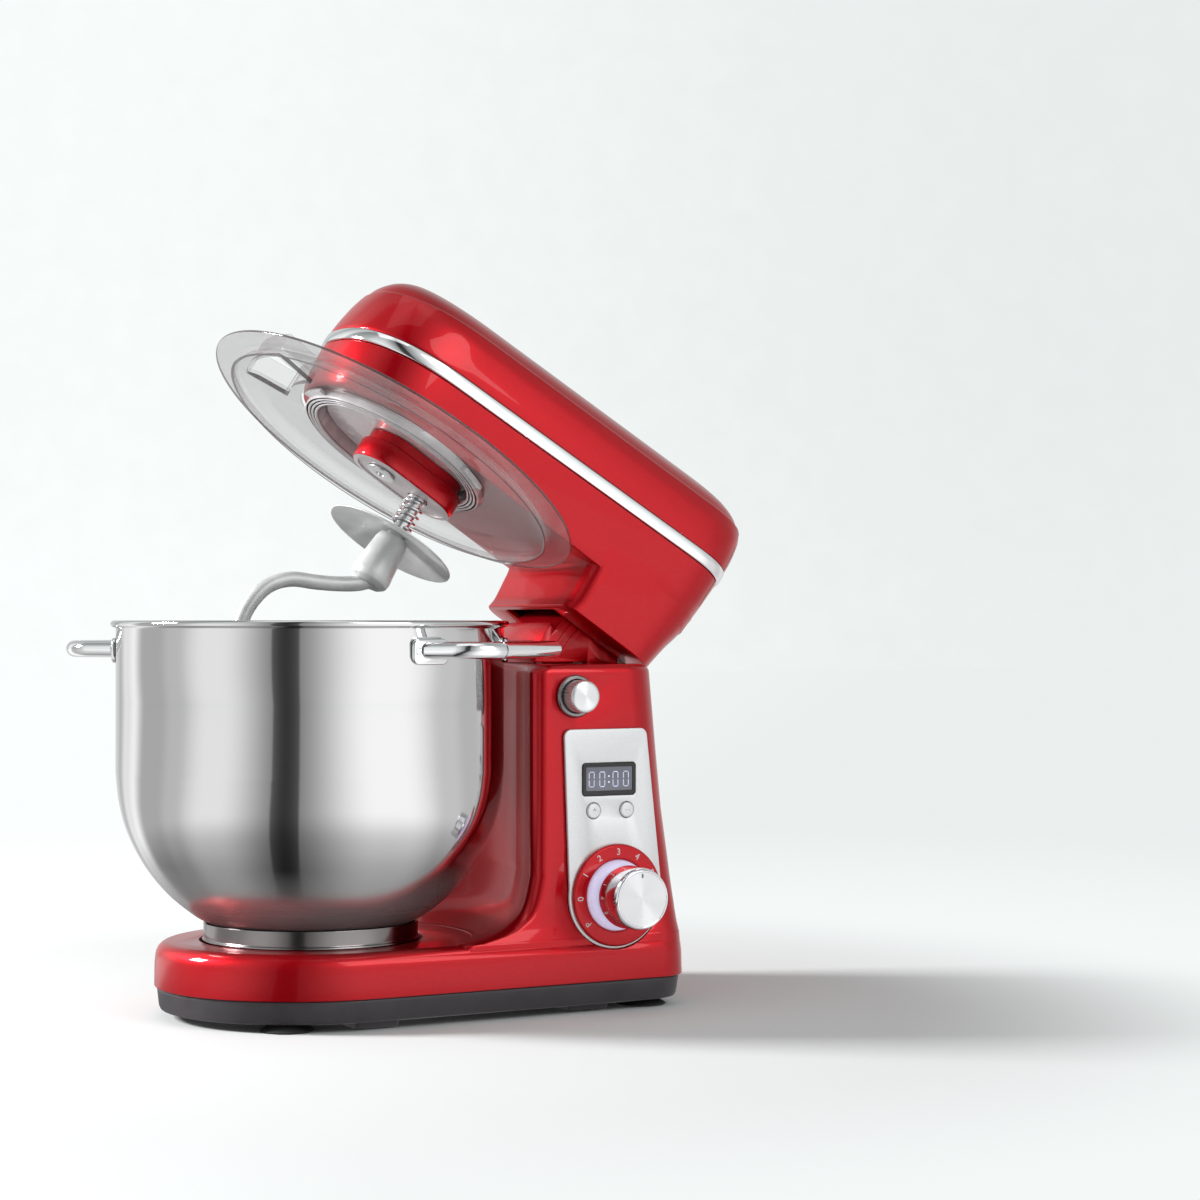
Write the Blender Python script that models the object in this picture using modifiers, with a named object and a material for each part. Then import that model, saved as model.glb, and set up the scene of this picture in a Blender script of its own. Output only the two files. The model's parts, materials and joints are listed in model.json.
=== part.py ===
"""A tilt-head stand mixer, resting with its head raised: red housings, a steel bowl with two
handles, a clear splash guard, a planetary dough hook and a control panel on the right side.
Lengths below are in millimetres and are scaled to metres as each mesh is made."""

import math

import bmesh
import bpy
from mathutils import Matrix, Vector

MM = 0.001
BOWL_Y = -77.46  # the bowl's axis in the part's frame; the rest of the stand is measured from that axis
TILT = 33.5  # degrees that the head stands open
PIVOT_Y = 183.0
PIVOT_Z = 190.0
HEAD_Z = 222.5  # height of the splash guard's lower edge with the head closed
GAP = 0.3  # clearance between neighbouring pieces

BASE_HALF = 86.5
BASE_FRONT = 89.5
BASE_REAR = 207.0
TRAY_LOW = 4.6
TRAY_TOP = 18.0
DECK_TOP = 43.0
SHOULDER = 200.0
COLUMN_HALF = 82.0

BOWL_R = 111.0
BOWL_TOP = 225.4
HANDLE_ANGLE = 36.5
HANDLE_Z = 209.0
HANDLE_BAR = 4.8

REAR_FROM = 168.0  # where the head's sides start to turn in toward its rear
REAR_SQUARENESS = 3.2  # 2 would be an ellipse, and more is squarer
NOSE_SQUARENESS = 2.35

PLANET = 28.0  # from the hub's axis to the beater's axis
RING_TEETH = 28
PINION_TEETH = 8

DIAL_Y = 154.0
DIAL_Z = 67.0
RELEASE_Y = 128.0
RELEASE_Z = 182.0

RED = (0.62, 0.01, 0.02, 1)
DARK = (0.05, 0.045, 0.05, 1)
STEEL = (0.6, 0.6, 0.61, 1)
SILVER = (0.68, 0.68, 0.69, 1)
GREY = (0.3, 0.29, 0.32, 1)
CLEAR = (0.8, 0.8, 0.82, 0.35)
WHITE = (0.85, 0.85, 0.95, 1)
RUBBER = (0.03, 0.03, 0.03, 1)
BRASS = (0.7, 0.52, 0.25, 1)
GREEN = (0.05, 0.3, 0.12, 1)

for old in list(bpy.data.objects):
    bpy.data.objects.remove(old)
PARTS = bpy.data.collections.new("stand_mixer")
CUTTERS = bpy.data.collections.new("cutters")
bpy.context.scene.collection.children.link(PARTS)
bpy.context.scene.collection.children.link(CUTTERS)


def move(x, y, z):
    return Matrix.Translation(Vector((x, y, z)) * MM)


BASE = move(0, BOWL_Y, 0)
TO_PIVOT = move(0, PIVOT_Y, PIVOT_Z)
OPEN = Matrix.Rotation(math.radians(-TILT), 4, "X")
HEAD = BASE @ TO_PIVOT @ OPEN @ TO_PIVOT.inverted() @ move(0, 0, HEAD_Z)
ALONG_X = Matrix.Rotation(math.pi / 2, 4, "Y")
ALONG_Y = Matrix.Rotation(-math.pi / 2, 4, "X")


def on_side(x, y, z):
    """A frame whose Z axis points out of the right side, for knobs and buttons."""
    return BASE @ move(x, y, z) @ ALONG_X


def put(name, verts, faces, where, colour=None, edges=()):
    """An object from points in millimetres. With no colour it is a cutter."""
    mesh = bpy.data.meshes.new(name)
    mesh.from_pydata([Vector(v) * MM for v in verts], list(edges), faces)
    mesh.update()
    obj = bpy.data.objects.new(name, mesh)
    obj.matrix_world = where
    if colour is None:
        CUTTERS.objects.link(obj)
        obj.hide_render = True
        obj.display_type = "WIRE"
        return obj
    PARTS.objects.link(obj)
    material = bpy.data.materials.new(name)
    material.use_nodes = True
    shader = material.node_tree.nodes["Principled BSDF"]
    shader.inputs["Base Color"].default_value = colour[:3] + (1,)
    shader.inputs["Alpha"].default_value = colour[3]
    shader.inputs["Metallic"].default_value = 1.0 if colour in (STEEL, SILVER, BRASS) else 0.0
    shader.inputs["Roughness"].default_value = 0.3
    mesh.materials.append(material)
    return obj


def loft(name, loops, where, colour=None):
    """A closed skin over loops of equal length, each listed anticlockwise from above, low to high."""
    count = len(loops[0])
    verts = [point for loop in loops for point in loop]
    faces = [tuple(reversed(range(count)))]
    for level in range(len(loops) - 1):
        low = level * count
        for i in range(count):
            j = (i + 1) % count
            faces.append((low + i, low + j, low + count + j, low + count + i))
    faces.append(tuple(range(len(verts) - count, len(verts))))
    return put(name, verts, faces, where, colour)


def flat(points, z):
    return [(x, y, z) for x, y in points]


def prism(name, points, low, high, where, colour=None):
    return loft(name, [flat(points, low), flat(points, high)], where, colour)


def sleeve(name, outer, inner, where, colour=None):
    """A ring: outer and inner hold loops of equal length, low to high."""
    count = len(outer[0])
    loops = outer + list(reversed(inner))
    verts = [point for loop in loops for point in loop]
    faces = []
    for level in range(len(loops)):
        low = level * count
        high = ((level + 1) % len(loops)) * count
        for i in range(count):
            j = (i + 1) % count
            faces.append((low + i, low + j, high + j, high + i))
    return put(name, verts, faces, where, colour)


def lathe(name, profile, where, colour=None, steps=48):
    """Turns a profile of (radius, height) points about the frame's Z axis."""
    ends = zip(profile, profile[1:] + profile[:1])
    if sum(a[0] * b[1] - b[0] * a[1] for a, b in ends) < 0:
        profile = profile[::-1]
    verts = [(r, 0, z) for r, z in profile]
    edges = [(i, i + 1) for i in range(len(verts) - 1)]
    if profile[0][0] > 0:
        edges.append((len(verts) - 1, 0))
    obj = put(name, verts, [], where, colour, edges)
    screw = obj.modifiers.new("turn", "SCREW")
    screw.axis = "Z"
    screw.angle = math.tau
    screw.steps = steps
    screw.render_steps = steps
    screw.use_merge_vertices = True
    screw.merge_threshold = 0.00001
    screw.use_normal_flip = True
    return obj


def circle(r, count, x=0.0, y=0.0, start=0.0):
    step = math.tau / count
    return [
        (x + r * math.cos(start + i * step), y + r * math.sin(start + i * step)) for i in range(count)
    ]


def arc(x, y, r, first, last, count):
    """Points on an arc, angles in degrees, both ends included."""
    angles = [math.radians(first + (last - first) * i / count) for i in range(count + 1)]
    return [(x + r * math.cos(a), y + r * math.sin(a)) for a in angles]


def rod(name, r, low, high, where, colour=None, steps=24, top_r=None):
    top = r if top_r is None else top_r
    return loft(name, [flat(circle(r, steps), low), flat(circle(top, steps), high)], where, colour)


def block(name, low, high, where, colour=None, bevel=0.0, segments=2):
    (x0, y0, z0), (x1, y1, z1) = low, high
    corners = [(x0, y0), (x1, y0), (x1, y1), (x0, y1)]
    obj = prism(name, corners, z0, z1, where, colour)
    if bevel:
        soften(obj, bevel, segments)
    return obj


def soften(obj, width, segments=2, angle=30):
    bevel = obj.modifiers.new("soften", "BEVEL")
    bevel.width = width * MM
    bevel.segments = segments
    bevel.limit_method = "ANGLE"
    bevel.angle_limit = math.radians(angle)
    return obj


def boolean(obj, other, operation):
    modifier = obj.modifiers.new(operation.lower(), "BOOLEAN")
    modifier.operation = operation
    modifier.solver = "EXACT"
    modifier.object = other
    return obj


def cut(obj, *others):
    for other in others:
        boolean(obj, other, "DIFFERENCE")
    return obj


def join(obj, *others):
    for other in others:
        boolean(obj, other, "UNION")
    return obj


def rounded(x0, x1, y0, y1, r, count=4):
    """A rectangle with rounded corners, anticlockwise."""
    return (
        arc(x1 - r, y0 + r, r, -90, 0, count)
        + arc(x1 - r, y1 - r, r, 0, 90, count)
        + arc(x0 + r, y1 - r, r, 90, 180, count)
        + arc(x0 + r, y0 + r, r, 180, 270, count)
    )


def sector(inner, outer, middle, half, count=6):
    """A piece of a flat ring, angles in degrees."""
    return arc(0, 0, outer, middle - half, middle + half, count) + arc(
        0, 0, inner, middle + half, middle - half, count
    )


def side_prism(name, points, x0, x1, where, colour=None):
    """Extrudes a shape drawn in the Y-Z plane from x0 to x1."""
    loops = [[(x, y, z) for y, z in points] for x in (x0, x1)]
    return loft(name, loops, where, colour)


def panel_outline(extra):
    """The control panel from the side: rounded top corners and a round foot about the dial."""
    return (
        arc(DIAL_Y, DIAL_Z, 31.0 + extra, 172, 368, 20)
        + arc(170.5, 158.5, 4.5 + extra, 0, 90, 4)
        + arc(124.5, 158.5, 4.5 + extra, 90, 180, 4)
    )


def base_outline(inset, corner=22.0):
    """The base in plan: a half circle under the bowl, straight sides and a rounded rear."""
    half = BASE_HALF - inset
    rear = BASE_REAR - inset
    return (
        arc(half - corner, rear - corner, corner, 0, 90, 5)
        + arc(-half + corner, rear - corner, corner, 90, 180, 5)
        + [(x, y * BASE_FRONT / BASE_HALF) for x, y in arc(0, 0, half, 180, 360, 22)]
    )


def hollow_outline(half, front, rear, front_corner, rear_corner):
    """A rear-facing block whose front is a hollow arc of radius front about the bowl's axis."""
    x = half - front_corner
    y = math.sqrt((front + front_corner) ** 2 - x * x)
    to_axis = math.degrees(math.atan2(-y, -x)) % 360
    edge = math.degrees(math.atan2(y, x))
    return (
        arc(x, y, front_corner, to_axis, 360, 5)
        + arc(half - rear_corner, rear - rear_corner, rear_corner, 0, 90, 4)
        + arc(-half + rear_corner, rear - rear_corner, rear_corner, 90, 180, 4)
        + arc(-x, y, front_corner, 180, 540 - to_axis, 5)
        + arc(0, 0, front, 180 - edge, edge, 12)[1:-1]
    )


def cavity_outline(rear):
    """The inside of the column in plan, with wide rear corners that follow the outside."""
    half = 78.5
    front = 133.0
    near = 8.0
    far = 28.0
    return (
        arc(half - near, front + near, near, -90, 0, 2)
        + arc(half - far, rear - far, far, 0, 90, 4)
        + arc(-half + far, rear - far, far, 90, 180, 4)
        + arc(-half + near, front + near, near, 180, 270, 2)
    )


def leaning(points, v):
    """A loop of the head that climbs toward the rear."""
    return [(x, y, v + RISE * y) for x, y in points]


def neck_outline(half, front, rear, corner, count=9):
    """The neck in plan: a flat front with round corners and a rear that matches the head's."""
    behind = []
    for i in range(count + 1):
        a = math.radians(90 * i / count)
        x = half * math.cos(a) ** (2 / REAR_SQUARENESS)
        behind.append((x, REAR_FROM + (rear - REAR_FROM) * math.sin(a) ** (2 / REAR_SQUARENESS)))
    behind += [(-x, y) for x, y in reversed(behind[:-1])]
    return (
        behind
        + arc(-half + corner, front + corner, corner, 180, 270, 4)
        + arc(half - corner, front + corner, corner, 270, 360, 4)
    )


def head_outline(half, nose, rear, count=9):
    """The head in plan: a blunt nose toward -Y, straight sides and a squarer rear."""
    front_from = -5.0
    points = []
    for i in range(count + 1):
        a = math.radians(90 * i / count)
        x = half * math.cos(a) ** (2 / REAR_SQUARENESS)
        points.append((x, REAR_FROM + (rear - REAR_FROM) * math.sin(a) ** (2 / REAR_SQUARENESS)))
    points += [(-x, y) for x, y in reversed(points[:-1])]
    front = []
    for i in range(count + 1):
        a = math.radians(90 * i / count)
        x = half * math.cos(a) ** (2 / NOSE_SQUARENESS)
        front.append((-x, front_from - (front_from - nose) * math.sin(a) ** (2 / NOSE_SQUARENESS)))
    return points + front + [(-x, y) for x, y in reversed(front[:-1])]


# ---- base and column -------------------------------------------------------------------------

tray = loft(
    "base_tray",
    [
        flat(base_outline(5.0), TRAY_LOW),
        flat(base_outline(2.6), TRAY_LOW + 2.4),
        flat(base_outline(1.4), TRAY_TOP - GAP),
    ],
    BASE,
    DARK,
)
cut(tray, prism("tray_hollow", base_outline(6.0), TRAY_LOW + 2.6, 30, BASE))
FOOT_PLACES = ((58, -40), (-58, -40), (64, 182), (-64, 182))
for number, (x, y) in enumerate(FOOT_PLACES):
    cut(tray, rod(f"foot_seat_{number}", 4.0, 0, 20, BASE @ move(x, y, 0)))
PADS = ((70, 5), (-70, 5), (68, 140), (-68, 140))
for number, (x, y) in enumerate(PADS):
    join(tray, block(f"pad_{number}", (x - 9, y - 13, 1.2), (x + 9, y + 13, 6.0), BASE))

DECK_LEVELS = ((0.0, TRAY_TOP), (0.4, 34.5), (1.6, 38.5), (4.0, 41.5), (8.0, DECK_TOP))
stand = loft(
    "stand_housing", [flat(base_outline(inset), z) for inset, z in DECK_LEVELS], BASE, RED
)
COLUMN_LEVELS = (
    (30.0, 88.0, 85.0, 205.5, 0.0),
    (43.0, 92.0, 84.6, 204.5, 0.0),
    (45.0, 100.0, 84.2, 204.0, 0.0),
    (47.5, 107.0, 83.8, 203.5, 0.0),
    (52.0, 114.0, 83.2, 203.0, 0.0),
    (60.0, 121.0, 82.4, 202.0, 0.0),
    (75.0, 125.0, 82.0, 200.5, 0.0),
    (94.0, 126.0, 82.0, 198.8, 0.0),
    (195.0, 126.0, 82.0, 188.9, 0.0),
    (198.4, 126.0, 82.0, 188.6, 1.0),
    (SHOULDER, 126.0, 82.0, 188.5, 3.0),
)
column = loft(
    "column_form",
    [
        flat(hollow_outline(half - i, front + i, rear - i, 8.0, 18.0 + 8.0 * (z > 94)), z)
        for z, front, half, rear, i in COLUMN_LEVELS
    ],
    BASE,
)
join(stand, column)
cut(
    stand,
    prism("deck_hollow", base_outline(4.0), 10, 28.5, BASE),
    loft(
        "column_hollow",
        [flat(cavity_outline(201.0), 20), flat(cavity_outline(185.0), 196)],
        BASE,
    ),
    rod("seat_recess", 64.0, 33.0, 60, BASE, steps=48),
    block("hinge_notch", (-29.5, 165.5, 177), (29.5, 225, 210), BASE),
    rod("release_hole", 10.2, -10, 12, on_side(82, RELEASE_Y, RELEASE_Z), steps=32),
    block("panel_hole", (76, 130.8, 48.5), (90, 176, 150), BASE),
    side_prism("panel_pocket", panel_outline(0.4), COLUMN_HALF, 100, BASE),
    rod("gland_hole", 5.2, -20, 20, BASE @ move(-40, 203, 34) @ ALONG_Y),
)

for number, (x, y) in enumerate(FOOT_PLACES):
    lathe(
        f"foot_{number + 1}",
        [(0, 0.4), (9, 0), (15, 0), (15.4, 1.0), (11, 3.6), (8, 4.3), (3.7, 4.3), (3.7, 8.5), (0, 8.5)],
        BASE @ move(x, y, 0),
        RUBBER,
        16,
    )

for number, (x, y) in enumerate(((40, 60), (-40, 60), (0, 190))):
    rod(f"tray_screw_{number + 1}", 2.4, 7.5, 15.0, BASE @ move(x, y, 0), STEEL, 10)

lathe(
    "cord_gland",
    [(2.6, -8), (5.0, -8), (5.0, 1.6), (7.4, 1.9), (7.4, 3.9), (5.0, 4.4), (4.2, 16), (2.6, 16)],
    BASE @ move(-40, 205.4, 34) @ ALONG_Y,
    RUBBER,
    14,
)

# the fixed part of the hinge, between the column's shoulder and the head's neck
PIN = BASE @ move(0, PIVOT_Y, PIVOT_Z) @ ALONG_X


def around_pivot(r, degrees):
    a = math.radians(degrees)
    return (PIVOT_Y + r * math.cos(a), PIVOT_Z + r * math.sin(a))


SEAT = SHOULDER + GAP
front_low = math.degrees(math.asin((SEAT - PIVOT_Z) / 53.0))
cheek_shape = (
    [(PIVOT_Y - 16.5, SEAT), (PIVOT_Y - 16.5, 178.5), (PIVOT_Y + 5.5, 178.5), (PIVOT_Y + 5.5, 214)]
    + [around_pivot(49, a) for a in (96, 104, 112, 120, 128, 136, 140)]
    + [around_pivot(53, a) for a in (140, 146, 152, 158, 164, 180 - front_low)]
)
tower = side_prism("hinge_tower", cheek_shape, -28, 28, BASE, RED)
inner_shape = (
    [(PIVOT_Y - 13.5, SEAT - 5), (PIVOT_Y - 13.5, 170), (PIVOT_Y + 12, 170), (PIVOT_Y + 12, 214)]
    + [(PIVOT_Y - 3, 260)]
    + [around_pivot(54, 111)]
    + [around_pivot(46, a) for a in (111, 120, 130, 140)]
    + [around_pivot(50, a) for a in (140, 150, 160, 166)]
    + [(137.0, SEAT + 3)]
    + [(PIVOT_Y - 20.0, SEAT + 3)]
)
cut(
    tower,
    side_prism("tower_hollow", inner_shape, -22, 22, BASE),
    rod("pin_bore", 3.8, -60, 60, PIN),
    block("bolt_way", (12.8, 160, 186.8), (19.2, 172, 193.2), BASE),
)
for side in (-1, 1):
    rib = [around_pivot(43, a) for a in (104, 116, 128, 140, 152, 163)]
    rib += [around_pivot(39, a) for a in (163, 152, 140, 128, 116, 104)]
    low, high = sorted((27.0 * side, 28.9 * side))
    join(tower, side_prism(f"cheek_rib_{side + 1}", list(reversed(rib)), low, high, BASE))
rod("hinge_pin", 3.5, -27.6, 27.6, PIN, STEEL, 20)

# ---- controls on the right side ---------------------------------------------------------------

FACE = COLUMN_HALF + GAP
panel = side_prism("control_panel", panel_outline(0), FACE, FACE + 2.0, BASE, SILVER)
DISPLAY = (131.6, 167.0, 124.6, 143.4)
TIMER = (("timer_up_button", 139.0), ("timer_down_button", 161.0))
TIMER_Z = 116.0
cut(
    panel,
    side_prism(
        "display_hole",
        rounded(DISPLAY[0] - GAP, DISPLAY[1] + GAP, DISPLAY[2] - GAP, DISPLAY[3] + GAP, 2.5, 3),
        70,
        95,
        BASE,
    ),
    rod("dial_hole", 18.0, -10, 10, on_side(FACE, DIAL_Y, DIAL_Z), steps=32),
    *[rod(name + "_hole", 4.9, -10, 10, on_side(FACE, y, TIMER_Z), steps=20) for name, y in TIMER],
)
side_prism(
    "display_window",
    rounded(DISPLAY[0], DISPLAY[1], DISPLAY[2], DISPLAY[3], 2.2, 3),
    FACE - 3.0,
    FACE + 2.5,
    BASE,
    DARK,
)
for name, y in TIMER:
    lathe(
        name,
        [(0, -7), (2, -7), (2, -3.2), (4.5, -3.2), (4.5, 2.6), (3.9, 3.2), (0, 3.3)],
        on_side(FACE, y, TIMER_Z),
        SILVER,
        20,
    )
lathe(
    "dial_ring",
    [(20.5, 2.3), (29.4, 2.3), (29.6, 3.4), (28.6, 4.8), (21.4, 4.8), (20.5, 4.2)],
    on_side(FACE, DIAL_Y, DIAL_Z),
    RED,
    36,
)
lathe(
    "light_ring",
    [(9.5, -0.6), (17.6, -0.6), (17.6, 2.3), (20.1, 2.3), (20.1, 5.4), (18.4, 8.6), (15.6, 9.0), (9.5, 9.0)],
    on_side(FACE, DIAL_Y, DIAL_Z),
    WHITE,
    28,
)
knob = lathe(
    "speed_knob",
    [(0, 12.0), (3.3, 12.0), (3.3, 10.0), (17.5, 10.0), (18.6, 11.0), (19.2, 16.0)]
    + [(18.6, 30.0), (17.6, 31.6), (16.2, 32.3), (0, 31.8)],
    on_side(FACE, DIAL_Y, DIAL_Z),
    STEEL,
    32,
)
cut(knob, rod("knob_bore", 3.2, 5, 24, on_side(FACE, DIAL_Y, DIAL_Z), steps=16))
rod("knob_shaft", 2.9, -7.0, 23.5, on_side(FACE, DIAL_Y, DIAL_Z), STEEL, 16)
block(
    "speed_control",
    (FACE - 19, DIAL_Y - 11, DIAL_Z - 11),
    (FACE - 7.4, DIAL_Y + 11, DIAL_Z + 11),
    BASE,
    DARK,
)
block("control_board", (FACE - 11, 140, 88), (FACE - 9.4, 168, 150), BASE, GREEN)

lathe(
    "release_bezel",
    [(9.9, -6.0), (10.0, -6.0), (10.0, 0.0), (12.2, 0.0), (12.2, 1.6), (11.2, 2.4), (9.9, 2.4)],
    on_side(FACE, RELEASE_Y, RELEASE_Z),
    DARK,
    24,
)
lathe(
    "release_button",
    [(0, -26.0), (3.4, -26.0), (3.4, -14.2), (7.6, -14.2), (7.6, -12.2), (3.4, -12.2)]
    + [(3.4, -3.0), (9.4, -3.0), (9.6, 11.6), (8.6, 12.8), (0, 13.2)],
    on_side(FACE, RELEASE_Y, RELEASE_Z),
    SILVER,
    24,
)

# ---- latch, behind the release button ---------------------------------------------------------

POCKET_X = FACE - 30.0
cut(
    stand,
    rod("release_pocket", 9.0, -30, 4, on_side(FACE, RELEASE_Y, RELEASE_Z), steps=24),
    block("latch_slot", (POCKET_X, 126, 178), (60, 140, 186), BASE),
)

def coil(name, r, wire, turns, low, high, where, colour, per_turn=8, sides=5):
    """A helical spring with its axis along the frame's Z axis."""
    loops = []
    total = int(turns * per_turn)
    pitch = (high - low - 2 * wire) / total
    for i in range(total + 1):
        a = math.tau * i / per_turn
        z = low + wire + pitch * i
        ring = []
        for k in range(sides):
            b = math.tau * k / sides
            reach = r + wire * math.cos(b)
            ring.append((reach * math.cos(a), reach * math.sin(a), z - wire * math.sin(b)))
        loops.append(ring)
    return loft(name, loops, where, colour)


coil("release_spring", 5.6, 0.6, 4, -29.4, -14.6, on_side(FACE, RELEASE_Y, RELEASE_Z), STEEL)
block("latch_bolt", (13.4, 142, 187.5), (18.6, 174.7, 192.5), BASE, STEEL, 0.8, 1)

# ---- bowl -------------------------------------------------------------------------------------

BOWL_OUTSIDE = [
    (0, 47.0),
    (30, 47.5),
    (48, 49.5),
    (61.5, 54.3),
    (71, 60.5),
    (82, 70.0),
    (92.4, 82.5),
    (100.4, 96.0),
    (106.2, 110.0),
    (109.6, 125.0),
    (BOWL_R, 140.0),
]
BOWL_WALL = 1.2
bowl_profile = (
    BOWL_OUTSIDE
    + [(111, 221.4), (112.4, 221.4), (113.6, 222.4), (113.6, 224.2), (112.4, BOWL_TOP)]
    + [(110.6, BOWL_TOP), (109.8, 224.6), (109.8, 140.0)]
    + [(r - BOWL_WALL * 0.9, z + BOWL_WALL * 0.5) for r, z in reversed(BOWL_OUTSIDE[6:10])]
    + [(r - BOWL_WALL * 0.6, z + BOWL_WALL * 0.9) for r, z in reversed(BOWL_OUTSIDE[2:6])]
    + [(30, 48.7), (0, 48.2)]
)
lathe("bowl", bowl_profile, BASE, STEEL, 46)
foot = lathe(
    "bowl_foot",
    [(59.9, 34.0), (62.0, 34.0), (62.6, 35.0), (62.0, 36.2), (61.5, 37), (61.5, 53.4), (59.9, 52.8)],
    BASE,
    STEEL,
    48,
)
for turn in (30, 150, 270):
    join(
        foot,
        prism(f"foot_tab_{turn}", sector(55.6, 60.6, turn, 9, 3), 34.4, 36.4, BASE),
    )
seat = lathe(
    "bowl_seat",
    [(0, 33.3), (54.4, 33.3), (54.4, 37.2), (58.6, 37.2), (58.6, 40.2), (57.4, 41.0), (0, 41.0)],
    BASE,
    DARK,
    32,
)
for turn in (-2, 118, 238):
    cut(seat, prism(f"seat_notch_{turn}", sector(54.9, 70, turn, 11, 3), 30, 60, BASE))


def swept(name, path, radius, where, colour, sides=10, flatten=None):
    """A round bar along a path of points, ends closed."""
    points = [Vector(p) for p in path]
    loops = []
    up = None
    for i, point in enumerate(points):
        ahead = points[min(i + 1, len(points) - 1)] - points[max(i - 1, 0)]
        ahead.normalize()
        if up is None:
            up = Vector((0, 0, 1)) if abs(ahead.z) < 0.9 else Vector((0, 1, 0))
        side = ahead.cross(up).normalized()
        up = side.cross(ahead).normalized()
        r = radius[i] if isinstance(radius, (list, tuple)) else radius
        wide = flatten[i] if flatten else 1.0
        ring = []
        for k in range(sides):
            b = math.tau * k / sides
            ring.append(point + side * (r * wide * math.cos(b)) + up * (r * math.sin(b)))
        loops.append([tuple(p) for p in reversed(ring)])
    return loft(name, loops, where, colour)


def handle(name, turn):
    """A D-shaped bar with a flat plate at each end, standing out of the bowl's wall."""
    half = 50.0
    reach = 137.5
    corner = 20.0
    start = math.sqrt((BOWL_R + 1.6) ** 2 - half**2) + 0.4
    path = [(start, -half), (start + 4, -half)]
    path += arc(reach - corner, -half + corner, corner, -90, 0, 5)
    path += arc(reach - corner, half - corner, corner, 0, 90, 5)
    path += [(start + 4, half), (start, half)]
    where = BASE @ Matrix.Rotation(math.radians(turn), 4, "Z")
    bar = swept(name, [(x, y, HANDLE_Z) for x, y in path], HANDLE_BAR, where, STEEL)
    for side in (-1, 1):
        middle = side * math.degrees(math.asin(half / BOWL_R)) - side * 1.5
        plate = [(BOWL_R + 0.35, middle), (BOWL_R + 2.6, middle)]
        inner = arc(0, 0, plate[0][0], middle - 6.5, middle + 6.5, 4)
        outer = arc(0, 0, plate[1][0], middle + 6.5, middle - 6.5, 4)
        shape = prism(
            f"{name}_plate_{side + 1}", outer[::-1] + inner[::-1], HANDLE_Z - 8, HANDLE_Z + 6.5, where
        )
        join(bar, shape)
    return bar


handle("bowl_handle_right", HANDLE_ANGLE)
handle("bowl_handle_left", HANDLE_ANGLE + 180)

# ---- head -------------------------------------------------------------------------------------

BAND_LOW = 42.6
BAND_HIGH = 50.4
NECK_FLOOR = -17.0  # the inside of the plate that closes the neck on either side of the tower
RISE = 0.045  # the trim band and the crown climb this much toward the rear
lower = loft(
    "head_lower_housing",
    [
        flat(head_outline(55.4, -61.4, 206.0), 10.5),
        flat(head_outline(56.0, -63.2, 208.0), 14.0),
        leaning(head_outline(57.0, -65.2, 210.5), 24.0),
        leaning(head_outline(57.6, -66.4, 212.3), BAND_LOW - GAP),
    ],
    HEAD,
    RED,
)
neck = loft(
    "neck_form",
    [
        flat(neck_outline(54.0, 122.3, 198.0, 10), -19.5),
        flat(neck_outline(54.9, 123.4, 199.4, 10), -12.0),
        flat(neck_outline(55.9, 123.0, 202.4, 10), 0.0),
        flat(neck_outline(56.3, 122.0, 206.2, 10), 10.0),
        flat(neck_outline(56.7, 116.0, 210.0, 10), 24.0),
    ],
    HEAD,
)
join(lower, neck)
cut(
    lower,
    loft(
        "housing_hollow",
        [
            flat(head_outline(53.0, -59.0, 203.0), 13.5),
            leaning(head_outline(54.5, -62.6, 208.0), 24.0),
            leaning(head_outline(55.1, -63.8, 209.8), 60.0),
        ],
        HEAD,
    ),
    rod("hub_opening", 52.4, 0, 20, HEAD, steps=36),
    loft(
        "neck_inside",
        [
            flat(neck_outline(51.4, 126.5, 195.6, 7), NECK_FLOOR),
            flat(neck_outline(52.1, 127.0, 196.6, 7), -12),
            flat(neck_outline(53.1, 126.6, 199.4, 7), 0),
            flat(neck_outline(53.3, 125.6, 202.8, 7), 10),
            flat(neck_outline(53.3, 120.0, 204.6, 7), 22),
        ],
        HEAD,
    ),
    block("tower_slot", (-30.0, 126.4, -35), (30.0, 193.6, NECK_FLOOR + 2), HEAD),
)

COVER = (
    (BAND_HIGH + GAP, 57.8, -67.0, 213.6),
    (60.0, 57.2, -66.3, 214.0),
    (72.0, 54.8, -64.3, 213.4),
    (78.5, 52.0, -62.6, 212.0),
    (81.0, 49.8, -61.6, 210.4),
    (87.0, 42.5, -58.8, 206.0),
    (92.5, 33.0, -53.6, 199.6),
    (97.0, 22.0, -45.5, 190.0),
    (99.8, 12.0, -33.0, 176.0),
    (101.2, 4.0, -13.0, 155.0),
)


def cover_loop(half, nose, rear, v):
    """The head's plan drawn in about its middle, for the crown's small upper loops."""
    full = head_outline(57.8, -67.0, 213.6)
    across = half / 57.8
    middle = 78.0
    along_front = (middle - nose) / (middle + 67.0)
    along_rear = (rear - middle) / (213.6 - middle)
    points = []
    for x, y in full:
        along = along_front if y < middle else along_rear
        points.append((x * across, middle + (y - middle) * along))
    return leaning(points, v)


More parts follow.
